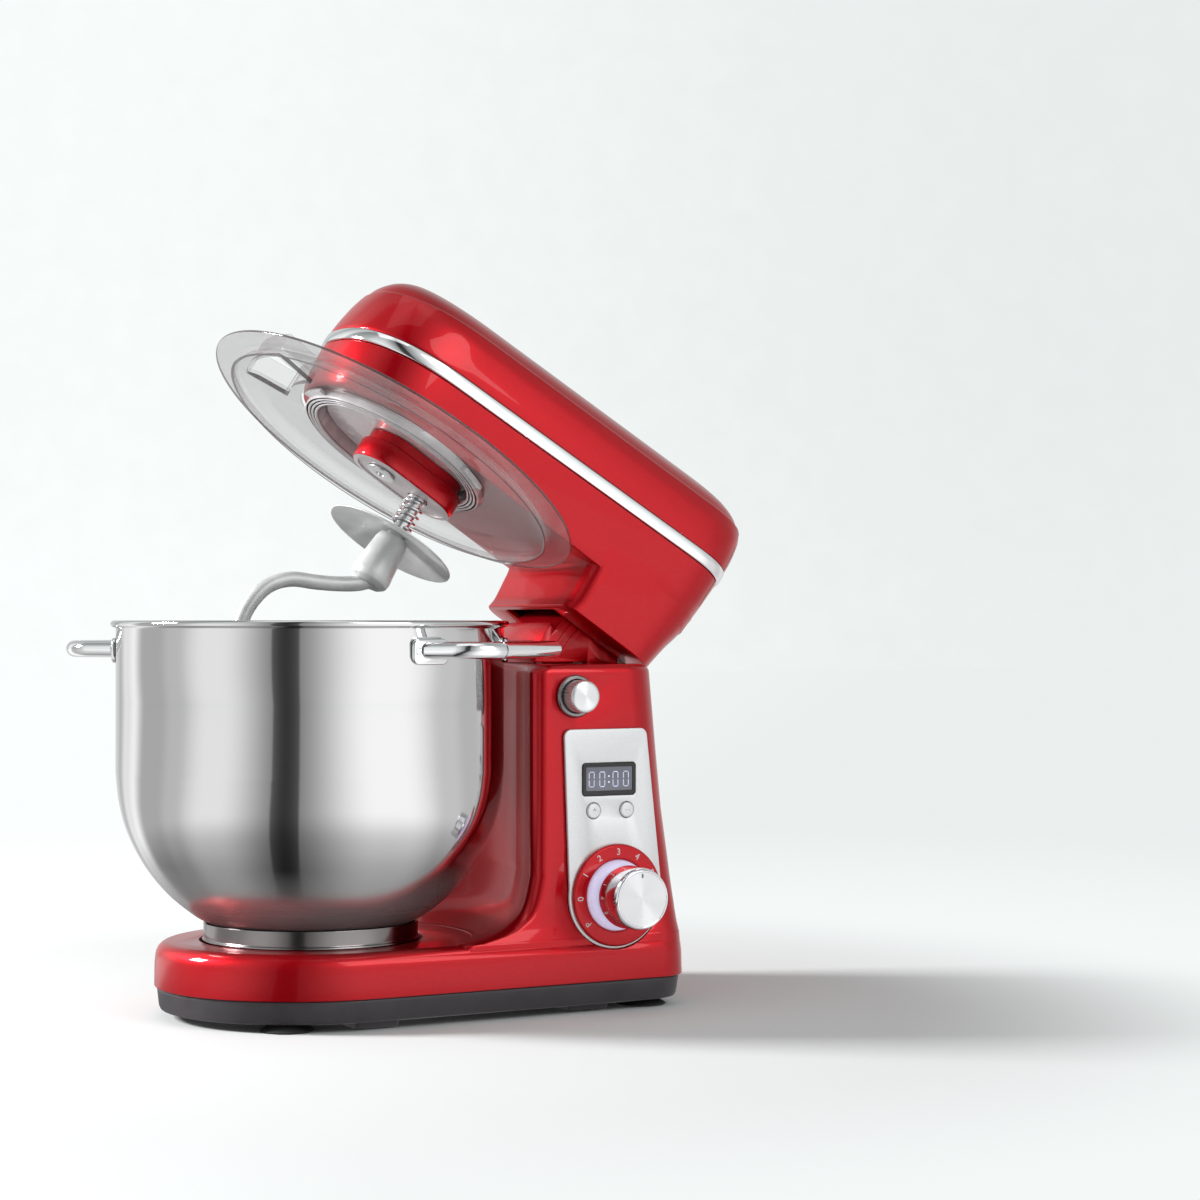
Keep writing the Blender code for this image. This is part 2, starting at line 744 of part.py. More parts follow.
cover = loft("head_top_cover", [cover_loop(h, n, r, v) for v, h, n, r in COVER], HEAD, RED)
cut(
    cover,
    loft(
        "cover_hollow",
        [cover_loop(55.2, -64.4, 211.0, 44.0)]
        + [cover_loop(h - 2.6, n + 2.6, r - 2.6, v - 2.4) for v, h, n, r in COVER[1:9]],
        HEAD,
    ),
)
sleeve(
    "trim_band",
    [
        leaning(head_outline(57.9, -66.9, 213.0), BAND_LOW),
        leaning(head_outline(58.5, -67.6, 213.7), BAND_LOW + 0.8),
        leaning(head_outline(58.7, -67.8, 214.2), BAND_HIGH - 0.8),
        leaning(head_outline(58.1, -67.3, 213.8), BAND_HIGH),
    ],
    [
        leaning(head_outline(54.6, -63.4, 210.0), v)
        for v in (BAND_LOW, BAND_LOW + 0.8, BAND_HIGH - 0.8, BAND_HIGH)
    ],
    HEAD,
    STEEL,
)

ring = lathe(
    "gearbox_ring",
    [(12.6, 26.0), (49.4, 26.0), (50.0, 25.4), (50.0, 5.2), (51.0, 4.2), (53.0, 4.0), (53.4, 4.8)]
    + [(54.6, 4.8), (55.0, 4.0), (57.4, 4.2), (58.2, 5.0), (58.2, 10.2), (52.0, 10.2), (52.0, 28.6)]
    + [(16.0, 28.6), (16.0, 31.6), (12.6, 31.6)],
    HEAD,
    GREY,
    36,
)
for turn in (30, 150, 270):
    join(ring, prism(f"guard_lug_{turn}", sector(57.0, 62.6, turn, 10, 3), 5.6, 7.6, HEAD))

guard = lathe(
    "splash_guard",
    [(59.6, 8.0), (92.0, 8.0), (103.9, 5.4), (103.9, 0.0), (105.9, 0.0), (105.9, 5.0), (119.0, 5.0)]
    + [(119.4, 6.0), (119.0, 7.0), (105.6, 7.0), (92.6, 10.0), (59.6, 10.0)],
    HEAD,
    CLEAR,
    48,
)
for turn in (0, 120, 240):
    cut(guard, prism(f"guard_notch_{turn}", sector(50, 63.6, turn, 12, 3), -5, 20, HEAD))
chute = prism("chute_form", sector(70.5, 98.0, 262, 19, 5), 4.8, 20.0, HEAD)
join(guard, chute)
cut(guard, prism("chute_opening", sector(72.1, 96.4, 262, 17.8, 5), -5, 30, HEAD))

lathe(
    "hub_bearing",
    [(6.3, 25.0), (12.3, 25.0), (12.3, 31.2), (6.3, 31.2)],
    HEAD,
    BRASS,
    24,
)
lathe(
    "hub_shaft",
    [(0, -4.0), (6.0, -4.0), (6.0, 42.0), (5.2, 42.8), (0, 42.8)],
    HEAD,
    STEEL,
    20,
)


def toothed(count, root, tip, root_share, tip_share, turn=0.0):
    """Four points per tooth; each share is the tooth's width over the pitch."""
    step = math.tau / count
    points = []
    for i in range(count):
        middle = turn + i * step
        for r, offset in ((root, -root_share), (tip, -tip_share), (tip, tip_share), (root, root_share)):
            a = middle + offset * step / 2
            points.append((r * math.cos(a), r * math.sin(a)))
    return points


ring_inner = toothed(RING_TEETH, 41.5, 37.4, 0.46, 0.2, math.pi / 2 + math.pi / RING_TEETH)
ring_outer = [(47.0 * x / math.hypot(x, y), 47.0 * y / math.hypot(x, y)) for x, y in ring_inner]
sleeve(
    "ring_gear",
    [flat(ring_outer, 18.0), flat(ring_outer, 25.6)],
    [flat(ring_inner, 18.0), flat(ring_inner, 25.6)],
    HEAD,
    GREY,
)

carrier = lathe(
    "carrier_disc", [(6.4, 12.0), (47.6, 12.0), (48.6, 12.8), (48.6, 15.4), (6.4, 15.4)], HEAD, GREY, 32
)
cut(carrier, rod("carrier_bore", 6.6, 0, 30, HEAD @ move(0, PLANET, 0), steps=20))


def stadium(r, y0, y1, count=8):
    """A slot shape along Y."""
    return arc(0, y1, r, 0, 180, count) + arc(0, y0, r, 180, 360, count)


arm = loft(
    "carrier_arm",
    [
        flat(stadium(18.8, 0, 31), -7.6),
        flat(stadium(19.5, 0, 31), -6.6),
        flat(stadium(19.6, 0, 31), 4.4),
        flat(stadium(18.8, 0, 31), 5.4),
        flat(stadium(17.4, 0, 30), 5.8),
        flat(stadium(17.2, 0, 30), 11.6),
    ],
    HEAD,
    RED,
)
cut(
    arm,
    rod("arm_hub_bore", 6.3, -30, 30, HEAD, steps=20),
    rod("arm_beater_bore", 6.6, -30, 30, HEAD @ move(0, PLANET, 0), steps=20),
)
lathe(
    "hub_screw",
    [(0, -8.2), (2.5, -8.2), (4.6, -8.8), (9.0, -8.8), (9.0, -7.9), (6.2, -7.9), (5.9, -4.3), (0, -4.3)],
    HEAD,
    STEEL,
    20,
)
BEATER = HEAD @ move(0, PLANET, 0)
lathe(
    "beater_shaft",
    [(0, -34.0), (4.4, -34.0), (4.4, -9.0), (6.2, -8.6), (6.2, 15.6), (4.0, 16.0), (4.0, 24.8), (0, 24.8)],
    BEATER,
    STEEL,
    20,
)
PINION_OUTLINE = toothed(PINION_TEETH, 8.8, 12.9, 0.46, 0.2, math.pi / 2)
pinion = prism("planet_pinion", PINION_OUTLINE, 18.2, 24.4, BEATER, BRASS)
cut(pinion, rod("pinion_bore", 4.3, 0, 40, BEATER, steps=16))
coil("shaft_spring", 6.4, 0.9, 4, -28.0, -9.4, BEATER, STEEL)
lathe(
    "hook_disc",
    [(6.0, -30.4), (6.0, -32.2), (12.0, -33.4), (38.6, -39.4)]
    + [(40.2, -39.6), (40.2, -38.2), (12.0, -31.6), (9.0, -30.4)],
    BEATER,
    GREY,
    30,
)
hook_hub = lathe(
    "dough_hook",
    [(0, -38.2), (4.9, -38.2), (4.9, -28.6), (5.8, -28.6), (5.8, -34.4), (9.0, -35.0), (10.4, -40.0)]
    + [(11.6, -56.0), (12.4, -62.0), (11.0, -66.0), (5.0, -67.4), (0, -67.5)],
    BEATER,
    GREY,
    28,
)
HOOK_PATH = (
    (0, 3.0, -57.0),
    (0, 1.0, -62.0),
    (0, -4.0, -69.0),
    (0, -14.0, -76.5),
    (0, -27.0, -84.0),
    (0, -40.5, -91.0),
    (0, -49.5, -100.5),
    (0, -53.5, -112.0),
    (0, -53.5, -126.0),
    (0, -48.5, -139.5),
    (0, -40.0, -150.5),
    (0, -25.0, -158.0),
    (0, -8.0, -161.5),
    (0, 6.0, -161.0),
)
HOOK_BAR = [6.5, 5.6, 4.8] + [4.4] * 9 + [4.0, 3.0]
join(hook_hub, swept("hook_bar", HOOK_PATH, HOOK_BAR, BEATER, None, 10))

BIG_PULLEY = 25.6
SMALL_PULLEY = 8.6
MOTOR_W = 132.0
MOTOR = HEAD @ move(0, MOTOR_W, 0)


def pulley(name, running, bore, where, steps):
    """A flat pulley whose two rims stand 1.4 mm above the running surface."""
    rim = running + 1.4
    profile = [(bore, 32.6), (rim, 32.6), (rim, 33.6), (running, 34.0)]
    profile += [(running, 40.6), (rim, 41.0), (rim, 42.0), (bore, 42.0)]
    lathe(name, profile, where, GREY, steps)


pulley("driven_pulley", BIG_PULLEY, 6.4, HEAD, 24)
pulley("motor_pulley", SMALL_PULLEY, 4.4, MOTOR, 16)
rod("motor_shaft", 4.0, 31.5, 60.0, MOTOR, STEEL, 16)
lathe(
    "motor_can",
    [(4.4, 48.6), (10.0, 48.6), (10.0, 50.4), (27.0, 50.4), (30.0, 52.0), (30.0, 82.0)]
    + [(27.0, 85.0), (0, 85.0), (0, 61.0), (4.4, 61.0)],
    MOTOR,
    STEEL,
    20,
)


def belt_outline(extra, count=12):
    """Round both pulleys, with straight runs between them."""
    big = BIG_PULLEY + extra
    small = SMALL_PULLEY + extra
    lean = math.degrees(math.asin((BIG_PULLEY - SMALL_PULLEY) / MOTOR_W))
    return (
        arc(0, MOTOR_W, small, lean, 180 - lean, count)
        + arc(0, 0, big, 180 - lean, 360 + lean, 2 * count)
    )


sleeve(
    "drive_belt",
    [flat(belt_outline(2.0), 34.4), flat(belt_outline(2.0), 40.2)],
    [flat(belt_outline(0.35), 34.4), flat(belt_outline(0.35), 40.2)],
    HEAD,
    RUBBER,
)

chassis = block("head_chassis", (-46, 30, 44.6), (46, 166, 47.4), HEAD, GREY)


def head_side_prism(name, points, x0, x1):
    return loft(name, [[(x, y, z) for y, z in points] for x in (x0, x1)], HEAD)


PIN_W = PIVOT_Y
PIN_V = PIVOT_Z - HEAD_Z
arm_shape = (
    [(PIN_W + 7.0, 46.0), (PIN_W - 21.0, 46.0), (PIN_W - 10.0, PIN_V + 24)]
    + arc(PIN_W, PIN_V, 7.6, 180, 360, 8)
    + [(PIN_W + 7.6, PIN_V + 14)]
)
for number, x in enumerate((-19.5, 12.5)):
    join(chassis, head_side_prism(f"hinge_arm_{number}", arm_shape, x, x + 7.0))
cut(
    chassis,
    rod("arm_pin_bore", 3.8, -60, 60, HEAD @ move(0, PIN_W, PIN_V) @ ALONG_X, steps=20),
    rod("motor_seat", 10.6, 30, 60, MOTOR, steps=24),
)
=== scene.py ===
"""The looks of the tilt-head stand mixer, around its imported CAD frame. Shapes are worked out in
millimetres in the stand's, the head's or a control's own frame, and scaled to metres as each
mesh is made."""

import json
import math

import bmesh
import bpy
from mathutils import Matrix, Vector


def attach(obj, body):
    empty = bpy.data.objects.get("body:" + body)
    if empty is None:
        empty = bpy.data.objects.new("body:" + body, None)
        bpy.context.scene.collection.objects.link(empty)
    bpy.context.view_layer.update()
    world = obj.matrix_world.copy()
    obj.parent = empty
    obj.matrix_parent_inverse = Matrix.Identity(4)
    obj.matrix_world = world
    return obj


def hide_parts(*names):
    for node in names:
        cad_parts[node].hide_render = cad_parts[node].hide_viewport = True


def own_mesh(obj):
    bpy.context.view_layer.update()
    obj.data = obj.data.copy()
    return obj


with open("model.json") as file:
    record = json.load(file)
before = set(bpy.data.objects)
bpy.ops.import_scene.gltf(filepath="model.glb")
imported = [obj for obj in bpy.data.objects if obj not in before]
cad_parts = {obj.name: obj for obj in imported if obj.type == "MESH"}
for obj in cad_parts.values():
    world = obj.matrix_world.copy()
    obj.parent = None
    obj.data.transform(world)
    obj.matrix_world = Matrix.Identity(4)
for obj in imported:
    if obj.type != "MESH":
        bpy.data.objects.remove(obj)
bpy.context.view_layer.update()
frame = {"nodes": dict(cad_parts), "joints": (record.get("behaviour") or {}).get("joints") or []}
NODES = frame["nodes"]
JOINTS = {joint["name"]: joint for joint in frame["joints"]}

MM = 0.001
SHARP = 32  # degrees: a steeper edge than this one is shaded sharp
GAP = 0.3  # between pieces that touch
NOISE_RANGE = (0.3, 0.7)  # where most of a noise texture's values lie
TILT = math.radians(JOINTS["head_tilt"]["range_deg"][1])
BOWL_AXIS = Vector(JOINTS["bowl_twist"]["pos_m"])
HUB = Vector(JOINTS["hub_spin"]["pos_m"])
DIAL = Vector(JOINTS["speed_knob_turn"]["pos_m"])
RELEASE = Vector((DIAL.x, BOWL_AXIS.y + 0.128, 0.182))

BASE = Matrix.Translation((0, BOWL_AXIS.y, 0))
HEAD = Matrix.Translation(HUB) @ Matrix.Rotation(-TILT, 4, "X")
PLANET = 28.0
BEATER = HEAD @ Matrix.Translation((0, PLANET * MM, 0))
FACING = Matrix(((0, 0, 1, 0), (1, 0, 0, 0), (0, 1, 0, 0), (0, 0, 0, 1)))  # X to the rear, Y up, Z out


# ---- shader nodes -----------------------------------------------------------------------------


def add(tree, kind, **settings):
    """A new node in the tree, with these settings."""
    made = tree.nodes.new(kind)
    for key, value in settings.items():
        setattr(made, key, value)
    return made


def maths(tree, operation, *values):
    node = add(tree, "ShaderNodeMath", operation=operation)
    for number, value in enumerate(values):
        if isinstance(value, (int, float)):
            node.inputs[number].default_value = value
        else:
            tree.links.new(value, node.inputs[number])
    return node.outputs[0]


def map_range(tree, value, source, target, kind="LINEAR"):
    """Carries the value from one range to another, and holds it at the ends."""
    node = add(tree, "ShaderNodeMapRange", interpolation_type=kind)
    for name, number in zip(("From Min", "From Max", "To Min", "To Max"), (*source, *target)):
        node.inputs[name].default_value = number
    tree.links.new(value, node.inputs["Value"])
    return node.outputs["Result"]


def ease(tree, value, low, high, start, end):
    return map_range(tree, value, (low, high), (start, end), "SMOOTHSTEP")


# ---- procedural materials ---------------------------------------------------------------------


class Finish:
    """A Principled material whose colour, roughness and relief come from noise."""

    def __init__(self, name, **values):
        self.material = bpy.data.materials.new(name)
        self.material.use_nodes = True
        self.tree = self.material.node_tree
        self.shader = self.tree.nodes["Principled BSDF"]
        for key, value in values.items():
            socket = key.replace("_", " ").title().replace("Ior", "IOR")
            self.shader.inputs[socket].default_value = value
        self.place = add(self.tree, "ShaderNodeTexCoord").outputs["Object"]

    def feed(self, value, socket):
        """Links a value to one of the shader's own sockets."""
        self.tree.links.new(value, self.shader.inputs[socket])

    def noise(self, scale, stretch=(1, 1, 1), detail=3.0):
        mapping = add(self.tree, "ShaderNodeMapping")
        mapping.inputs["Scale"].default_value = stretch
        self.tree.links.new(self.place, mapping.inputs["Vector"])
        texture = add(self.tree, "ShaderNodeTexNoise")
        texture.inputs["Scale"].default_value = scale
        texture.inputs["Detail"].default_value = detail
        self.tree.links.new(mapping.outputs["Vector"], texture.inputs["Vector"])
        return texture.outputs["Fac"]

    def span(self, value, low, high, source=NOISE_RANGE):
        return map_range(self.tree, value, source, (low, high))

    def tones(self, value, first, second, source=NOISE_RANGE):
        ramp = add(self.tree, "ShaderNodeValToRGB")
        for element, position, colour in zip(ramp.color_ramp.elements, source, (first, second)):
            element.position = position
            element.color = (*colour, 1)
        self.tree.links.new(value, ramp.inputs["Fac"])
        self.feed(ramp.outputs["Color"], "Base Color")

    def rough(self, value, low, high):
        self.feed(self.span(value, low, high), "Roughness")

    def relief(self, value, strength, distance=0.0002):
        bump = add(self.tree, "ShaderNodeBump")
        bump.inputs["Strength"].default_value = strength
        bump.inputs["Distance"].default_value = distance
        self.tree.links.new(value, bump.inputs["Height"])
        self.feed(bump.outputs["Normal"], "Normal")

    def spin_about_z(self):
        """Turns the tool marks' sheen into rings about the object's own Z."""
        tangent = add(self.tree, "ShaderNodeTangent", direction_type="RADIAL", axis="Z")
        self.feed(tangent.outputs["Tangent"], "Tangent")


def moulded(name, tone, gloss, grain=900.0, relief=0.05, **values):
    """Plastic or rubber: faint mottling, and a fine moulded grain."""
    made = Finish(name, **values)
    mottle = made.noise(60)
    made.tones(mottle, [c * 0.86 for c in tone], [min(1, c * 1.12) for c in tone])
    made.rough(mottle, gloss * 0.85, gloss * 1.2)
    made.relief(made.noise(grain), relief)
    return made.material


def turned(name, tone, gloss, stretch, anisotropic=0.4, relief=0.04, metallic=1.0):
    """Metal with fine tool marks; the marks are long where stretch is small."""
    made = Finish(name, metallic=metallic, anisotropic=anisotropic)
    marks = made.noise(1.0, stretch, 4.0)
    made.tones(marks, [c * 0.93 for c in tone], [min(1, c * 1.05) for c in tone])
    made.rough(marks, gloss * 0.8, gloss * 1.25)
    made.relief(marks, relief, 0.0001)
    return made.material


def candy_red():
    """Metallic lacquer: fine flake under a deep clear coat."""
    made = Finish(
        "candy_red", metallic=0.72, specular_ior_level=0.08,
        coat_weight=0.6, coat_roughness=0.03, coat_ior=1.45,
    )
    flake = made.noise(2600, detail=1.0)
    made.tones(flake, (0.42, 0.001, 0.006), (0.58, 0.003, 0.011))
    made.rough(made.noise(14), 0.36, 0.42)
    made.relief(flake, 0.05, 0.0001)
    return made.material


def clear_plastic():
    """Smoke-tinted clear plastic: thin when seen square on, and denser toward its edges."""
    made = Finish("clear_smoke", ior=1.46)
    cloud = made.noise(22)
    made.tones(cloud, (0.30, 0.27, 0.275), (0.36, 0.33, 0.335))
    made.rough(cloud, 0.03, 0.06)
    edge = add(made.tree, "ShaderNodeLayerWeight")
    edge.inputs["Blend"].default_value = 0.5
    made.feed(made.span(edge.outputs["Facing"], 0.10, 0.58, (0.45, 1.0)), "Alpha")
    return made.material


SHADE_FULL_BELOW = 0.050  # metres above the table: the bowl's painted shade is full below this height, and gone above the next
SHADE_GONE_ABOVE = 0.100


def bowl_steel():
    """Spun stainless steel: hair lines run round the bowl. Toward its foot its colour is darkened as painted
    shade, for the shadowed deck that the bowl mirrors there, and it is made less metallic and rougher.
    """
    made = Finish("bowl_steel", metallic=1.0, anisotropic=0.6, anisotropic_rotation=0.25)
    made.relief(made.noise(1.0, (8, 8, 1800), 4.0), 0.004, 0.0001)
    made.spin_about_z()
    place = add(made.tree, "ShaderNodeSeparateXYZ")
    made.tree.links.new(made.place, place.inputs["Vector"])
    rise = made.span(place.outputs["Z"], 0.0, 1.0, (SHADE_FULL_BELOW, SHADE_GONE_ABOVE))
    # painted shade: the tone falls from 0.66 to 0.22 toward the foot
    made.tones(rise, (0.22, 0.21, 0.21), (0.66, 0.66, 0.66), (0.0, 1.0))
    made.feed(made.span(rise, 0.5, 1.0, (0.0, 0.8)), "Metallic")
    made.feed(made.span(rise, 0.34, 0.075, (0.0, 1.0)), "Roughness")
    return made.material


def spun_face(name, tone, gloss):
    """Metal turned on its flat face: rings, and the light fans that they make."""
    made = Finish(name, metallic=1.0, anisotropic=0.85, anisotropic_rotation=0.25)
    across = add(made.tree, "ShaderNodeVectorMath", operation="MULTIPLY")
    across.inputs[1].default_value = (1, 1, 0)
    reach = add(made.tree, "ShaderNodeVectorMath", operation="LENGTH")
    rings = add(made.tree, "ShaderNodeTexNoise", noise_dimensions="1D")
    rings.inputs["Scale"].default_value = 5200
    rings.inputs["Detail"].default_value = 2
    made.tree.links.new(made.place, across.inputs[0])
    made.tree.links.new(across.outputs["Vector"], reach.inputs[0])
    made.tree.links.new(reach.outputs["Value"], rings.inputs["W"])
    made.tones(rings.outputs["Fac"], [c * 0.9 for c in tone], tone)
    made.rough(rings.outputs["Fac"], gloss * 0.8, gloss * 1.2)
    made.relief(rings.outputs["Fac"], 0.05, 0.0001)
    made.spin_about_z()
    return made.material


def glowing(name, tone, light, strength):
    made = Finish(name, emission_strength=strength, emission_color=(*light, 1))
    cloud = made.noise(300)
    made.tones(cloud, [c * 0.92 for c in tone], tone)
    made.rough(cloud, 0.12, 0.2)
    return made.material


RED = candy_red()
CLEAR = clear_plastic()
# Near-black: painted shade on the guard's rims and edges, for the dark lines that light bent inside clear
# plastic draws there.
CLEAR_EDGE_SHADE = moulded("clear_edge_shade", (0.07, 0.05, 0.055), 0.10, 400, 0.0, alpha=0.85)
BOWL_STEEL = bowl_steel()
# Steel made far darker than bare steel: painted shade on the bowl's foot ring, which sits in the bowl's
# shadow and mirrors the dark deck; the release bezel takes it as its own dark finish.
FOOT_STEEL = turned("foot_steel", (0.24, 0.22, 0.22), 0.16, (40, 40, 40), 0.0, 0.01)
CHROME = turned("bright_chrome", (0.86, 0.86, 0.87), 0.07, (40, 40, 40), 0.0, 0.01)
STEEL = turned("machined_steel", (0.62, 0.62, 0.63), 0.24, (200, 200, 2500))
BRONZE = turned("bearing_bronze", (0.60, 0.42, 0.20), 0.30, (300, 300, 1800))
KNOB_FACE = spun_face("spun_aluminium", (0.74, 0.74, 0.75), 0.30)
KNOB_SIDE = turned("polished_aluminium", (0.84, 0.83, 0.86), 0.10, (300, 300, 300), 0.0, 0.01)
SILVER = turned("satin_silver", (0.78, 0.78, 0.79), 0.42, (1400, 1400, 1400), 0.0, 0.06, metallic=0.55)
HOOK_GREY = moulded("hook_coating", (0.74, 0.74, 0.74), 0.38, 700, 0.06, metallic=0.2)
DARK = moulded("charcoal_plastic", (0.050, 0.044, 0.050), 0.42, 1400, 0.12)
BLACK = moulded("black_gloss", (0.012, 0.010, 0.012), 0.12, 400, 0.02)
GREY = moulded("grey_plastic", (0.55, 0.52, 0.53), 0.26, 900, 0.04, coat_weight=0.4)
# Dark red-grey: painted shade in the grooves between the gearbox ring's ridges.
GROOVE_SHADE = moulded("groove_shade", (0.075, 0.030, 0.036), 0.25, 900, 0.04)
UNDERSIDE = moulded("arm_underside", (0.52, 0.47, 0.48), 0.35, 700, 0.06, metallic=0.3)
RUBBER = moulded("matt_rubber", (0.022, 0.022, 0.023), 0.7, 1600, 0.2)
BOARD = moulded("circuit_board", (0.02, 0.16, 0.05), 0.35, 500, 0.1)
LIT = glowing("lit_ring", (0.74, 0.70, 0.92), (0.78, 0.72, 1.0), 0.35)
PANE = moulded("display_glass", (0.15, 0.15, 0.20), 0.10, 300, 0.0, coat_weight=1.0)
DIGIT = glowing("display_digits", (0.80, 0.84, 1.0), (0.74, 0.80, 1.0), 0.45)
PRINT = moulded("white_print", (0.82, 0.80, 0.80), 0.4, 900, 0.03)
INK = moulded("grey_print", (0.16, 0.16, 0.17), 0.5, 900, 0.03)


# ---- shape tools --------------------------------------------------------------------------------


def place(name, data, where=None):
    """A new object in the scene that holds this mesh, curve, camera or light."""
    obj = bpy.data.objects.new(name, data)
    bpy.context.scene.collection.objects.link(obj)
    if where is not None:
        obj.matrix_world = where
    return obj


def make(name, verts, faces, where, material, sharp=SHARP):
    mesh = bpy.data.meshes.new(name)
    mesh.from_pydata([Vector(v) * MM for v in verts], [], faces)
    shell = bmesh.new()
    shell.from_mesh(mesh)
    bmesh.ops.remove_doubles(shell, verts=shell.verts, dist=1e-7)
    bmesh.ops.recalc_face_normals(shell, faces=shell.faces)
    shell.to_mesh(mesh)
    shell.free()
    mesh.shade_smooth()
    mesh.set_sharp_from_angle(angle=math.radians(sharp))
    mesh.materials.append(material)
    return place(name, mesh, where)


def keep(obj, body, slot, *nodes):
    """Says what body a finished piece rides on and the CAD nodes that it stands for; its finish, the slot,
    is not used.
    """
    if any(0.01 < abs(value) < 0.99 for row in obj.matrix_world.to_3x3() for value in row):
        obj.data.transform(obj.matrix_world)  # a tilted frame would make the piece's own box too large
        obj.matrix_world = Matrix.Identity(4)
    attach(obj, body)
    if nodes:
        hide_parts(*nodes)


def curve_through(points, per):
    """A smooth curve through points of any dimension (Catmull-Rom)."""
    count = len(points)
    out = []
    for i in range(count - 1):
        p = [points[min(max(i + k, 0), count - 1)] for k in (-1, 0, 1, 2)]
        for step in range(per):
            t = step / per
            w = (
                -0.5 * t + t * t - 0.5 * t**3,
                1 - 2.5 * t * t + 1.5 * t**3,
                0.5 * t + 2 * t * t - 1.5 * t**3,
                -0.5 * t * t + 0.5 * t**3,
            )
            out.append(tuple(sum(a * q[d] for a, q in zip(w, p)) for d in range(len(p[0]))))
    return out + [tuple(points[-1])]


def eased(points, radius, closed=False, steps=4):
    """The outline with each corner rounded off; a third number in a point is its own radius."""
    count = len(points)
    out = []
    for i, point in enumerate(points):
        here = Vector(point[:2])
        own = point[2] if len(point) > 2 else radius
        if (not closed and i in (0, count - 1)) or own <= 0:
            out.append((here.x, here.y))
            continue
        before = Vector(points[i - 1][:2]) - here
        after = Vector(points[(i + 1) % count][:2]) - here
        start = here + before.normalized() * min(own, before.length * 0.48)
        end = here + after.normalized() * min(own, after.length * 0.48)
        for k in range(steps + 1):
            t = k / steps
            spot = start * (1 - t) ** 2 + here * (2 * t * (1 - t)) + end * t**2
            out.append((spot.x, spot.y))
    return out


def lathe(name, profile, where, material, steps=96, radius=0.0, sharp=SHARP):
    """Turns a profile of (radius, height) about Z. It is a ring if it never meets the axis."""
    ring = profile[0][0] > 0
    points = eased(profile, radius, ring) if radius else [p[:2] for p in profile]
    verts = []
    for i in range(steps):
        a = math.tau * i / steps
        verts += [(r * math.cos(a), r * math.sin(a), z) for r, z in points]
    count = len(points)
    faces = []
    for i in range(steps):
        here = i * count
        there = (i + 1) % steps * count
        for k in range(count if ring else count - 1):
            n = (k + 1) % count
            corners = [here + k, there + k, there + n, here + n]
            if points[k][0] < 1e-6:
                corners.remove(there + k)
            if points[n][0] < 1e-6:
                corners.remove(there + n)
            faces.append(corners)
    return make(name, verts, faces, where, material, sharp)


def loft(name, loops, where, material, caps=True, sharp=SHARP):
    """Joins closed loops of equally many points, and closes both ends with a face."""
    count = len(loops[0])
    verts = [point for loop in loops for point in loop]
    faces = []
    for level in range(len(loops) - 1):
        low = level * count
        for i in range(count):
            j = (i + 1) % count
            faces.append((low + i, low + j, low + count + j, low + count + i))
    if caps:
        faces.append(tuple(reversed(range(count))))
        faces.append(tuple(range(len(verts) - count, len(verts))))
    return make(name, verts, faces, where, material, sharp)


def flat(points, z):
    return [(x, y, z) for x, y in points]


def prism(outline, low, high, where, material=RED):
    """A plain upright tool. The faces it leaves take its material if the object has that too."""
    return loft("tool", [flat(outline, low), flat(outline, high)], where, material)


def arc(x, y, r, first, last, count):
    angles = [math.radians(first + (last - first) * i / count) for i in range(count + 1)]
    return [(x + r * math.cos(a), y + r * math.sin(a)) for a in angles]


def circle(r, count, x=0.0, y=0.0):
    return arc(x, y, r, 0, 360, count)[:-1]


def rounded(x0, x1, y0, y1, r, count=8):
    return (
        arc(x1 - r, y0 + r, r, -90, 0, count)
        + arc(x1 - r, y1 - r, r, 0, 90, count)
        + arc(x0 + r, y1 - r, r, 90, 180, count)
        + arc(x0 + r, y0 + r, r, 180, 270, count)
    )


def sector(r0, r1, middle, half, count):
    """A piece of a flat ring."""
    outer = arc(0, 0, r1, middle - half, middle + half, count)
    return outer + arc(0, 0, r0, middle + half, middle - half, count)


def inset(points, amount):
    """A closed outline moved inwards along its own normals."""
    count = len(points)
    out = []
    for i, (x, y) in enumerate(points):
        before, after = points[i - 1], points[(i + 1) % count]
        dx, dy = after[0] - before[0], after[1] - before[1]
        size = math.hypot(dx, dy) or 1.0
        out.append((x - dy / size * amount, y + dx / size * amount))
    return out


def slab(name, points, low, high, where, material, edge=0.5, holes=()):
    """A flat piece with rounded edges, and any holes cut through."""
    turns = [math.radians(90 * k / 4) for k in range(5)]
    loops = [flat(inset(points, edge), low)]
    for a in turns:
        loops.append(flat(inset(points, edge * (1 - math.sin(a))), low + edge * (1 - math.cos(a))))
    for a in turns:
        loops.append(flat(inset(points, edge * (1 - math.cos(a))), high - edge * (1 - math.sin(a))))
    obj = loft(name, loops, where, material)
    return cut(obj, *[prism(hole, low - 5, high + 5, where) for hole in holes])


def paint(obj, material, chosen):
    """Gives a second material to the faces whose radius, height and normal are chosen."""
    obj.data.materials.append(material)
    for polygon in obj.data.polygons:
        x, y, z = polygon.center / MM
        if chosen(math.hypot(x, y), z, polygon.normal):
            polygon.material_index = 1


def shade(obj):
    obj.data.shade_smooth()
    obj.data.set_sharp_from_angle(angle=math.radians(SHARP))


def evaluated(obj):
    """The mesh that the object's curve or its modifiers make."""
    bpy.context.view_layer.update()
    return bpy.data.meshes.new_from_object(obj.evaluated_get(bpy.context.evaluated_depsgraph_get()))


def apply(obj):
    """Replaces the object's mesh with what its modifiers make of it."""
    mesh = evaluated(obj)
    obj.modifiers.clear()
    obj.data = mesh


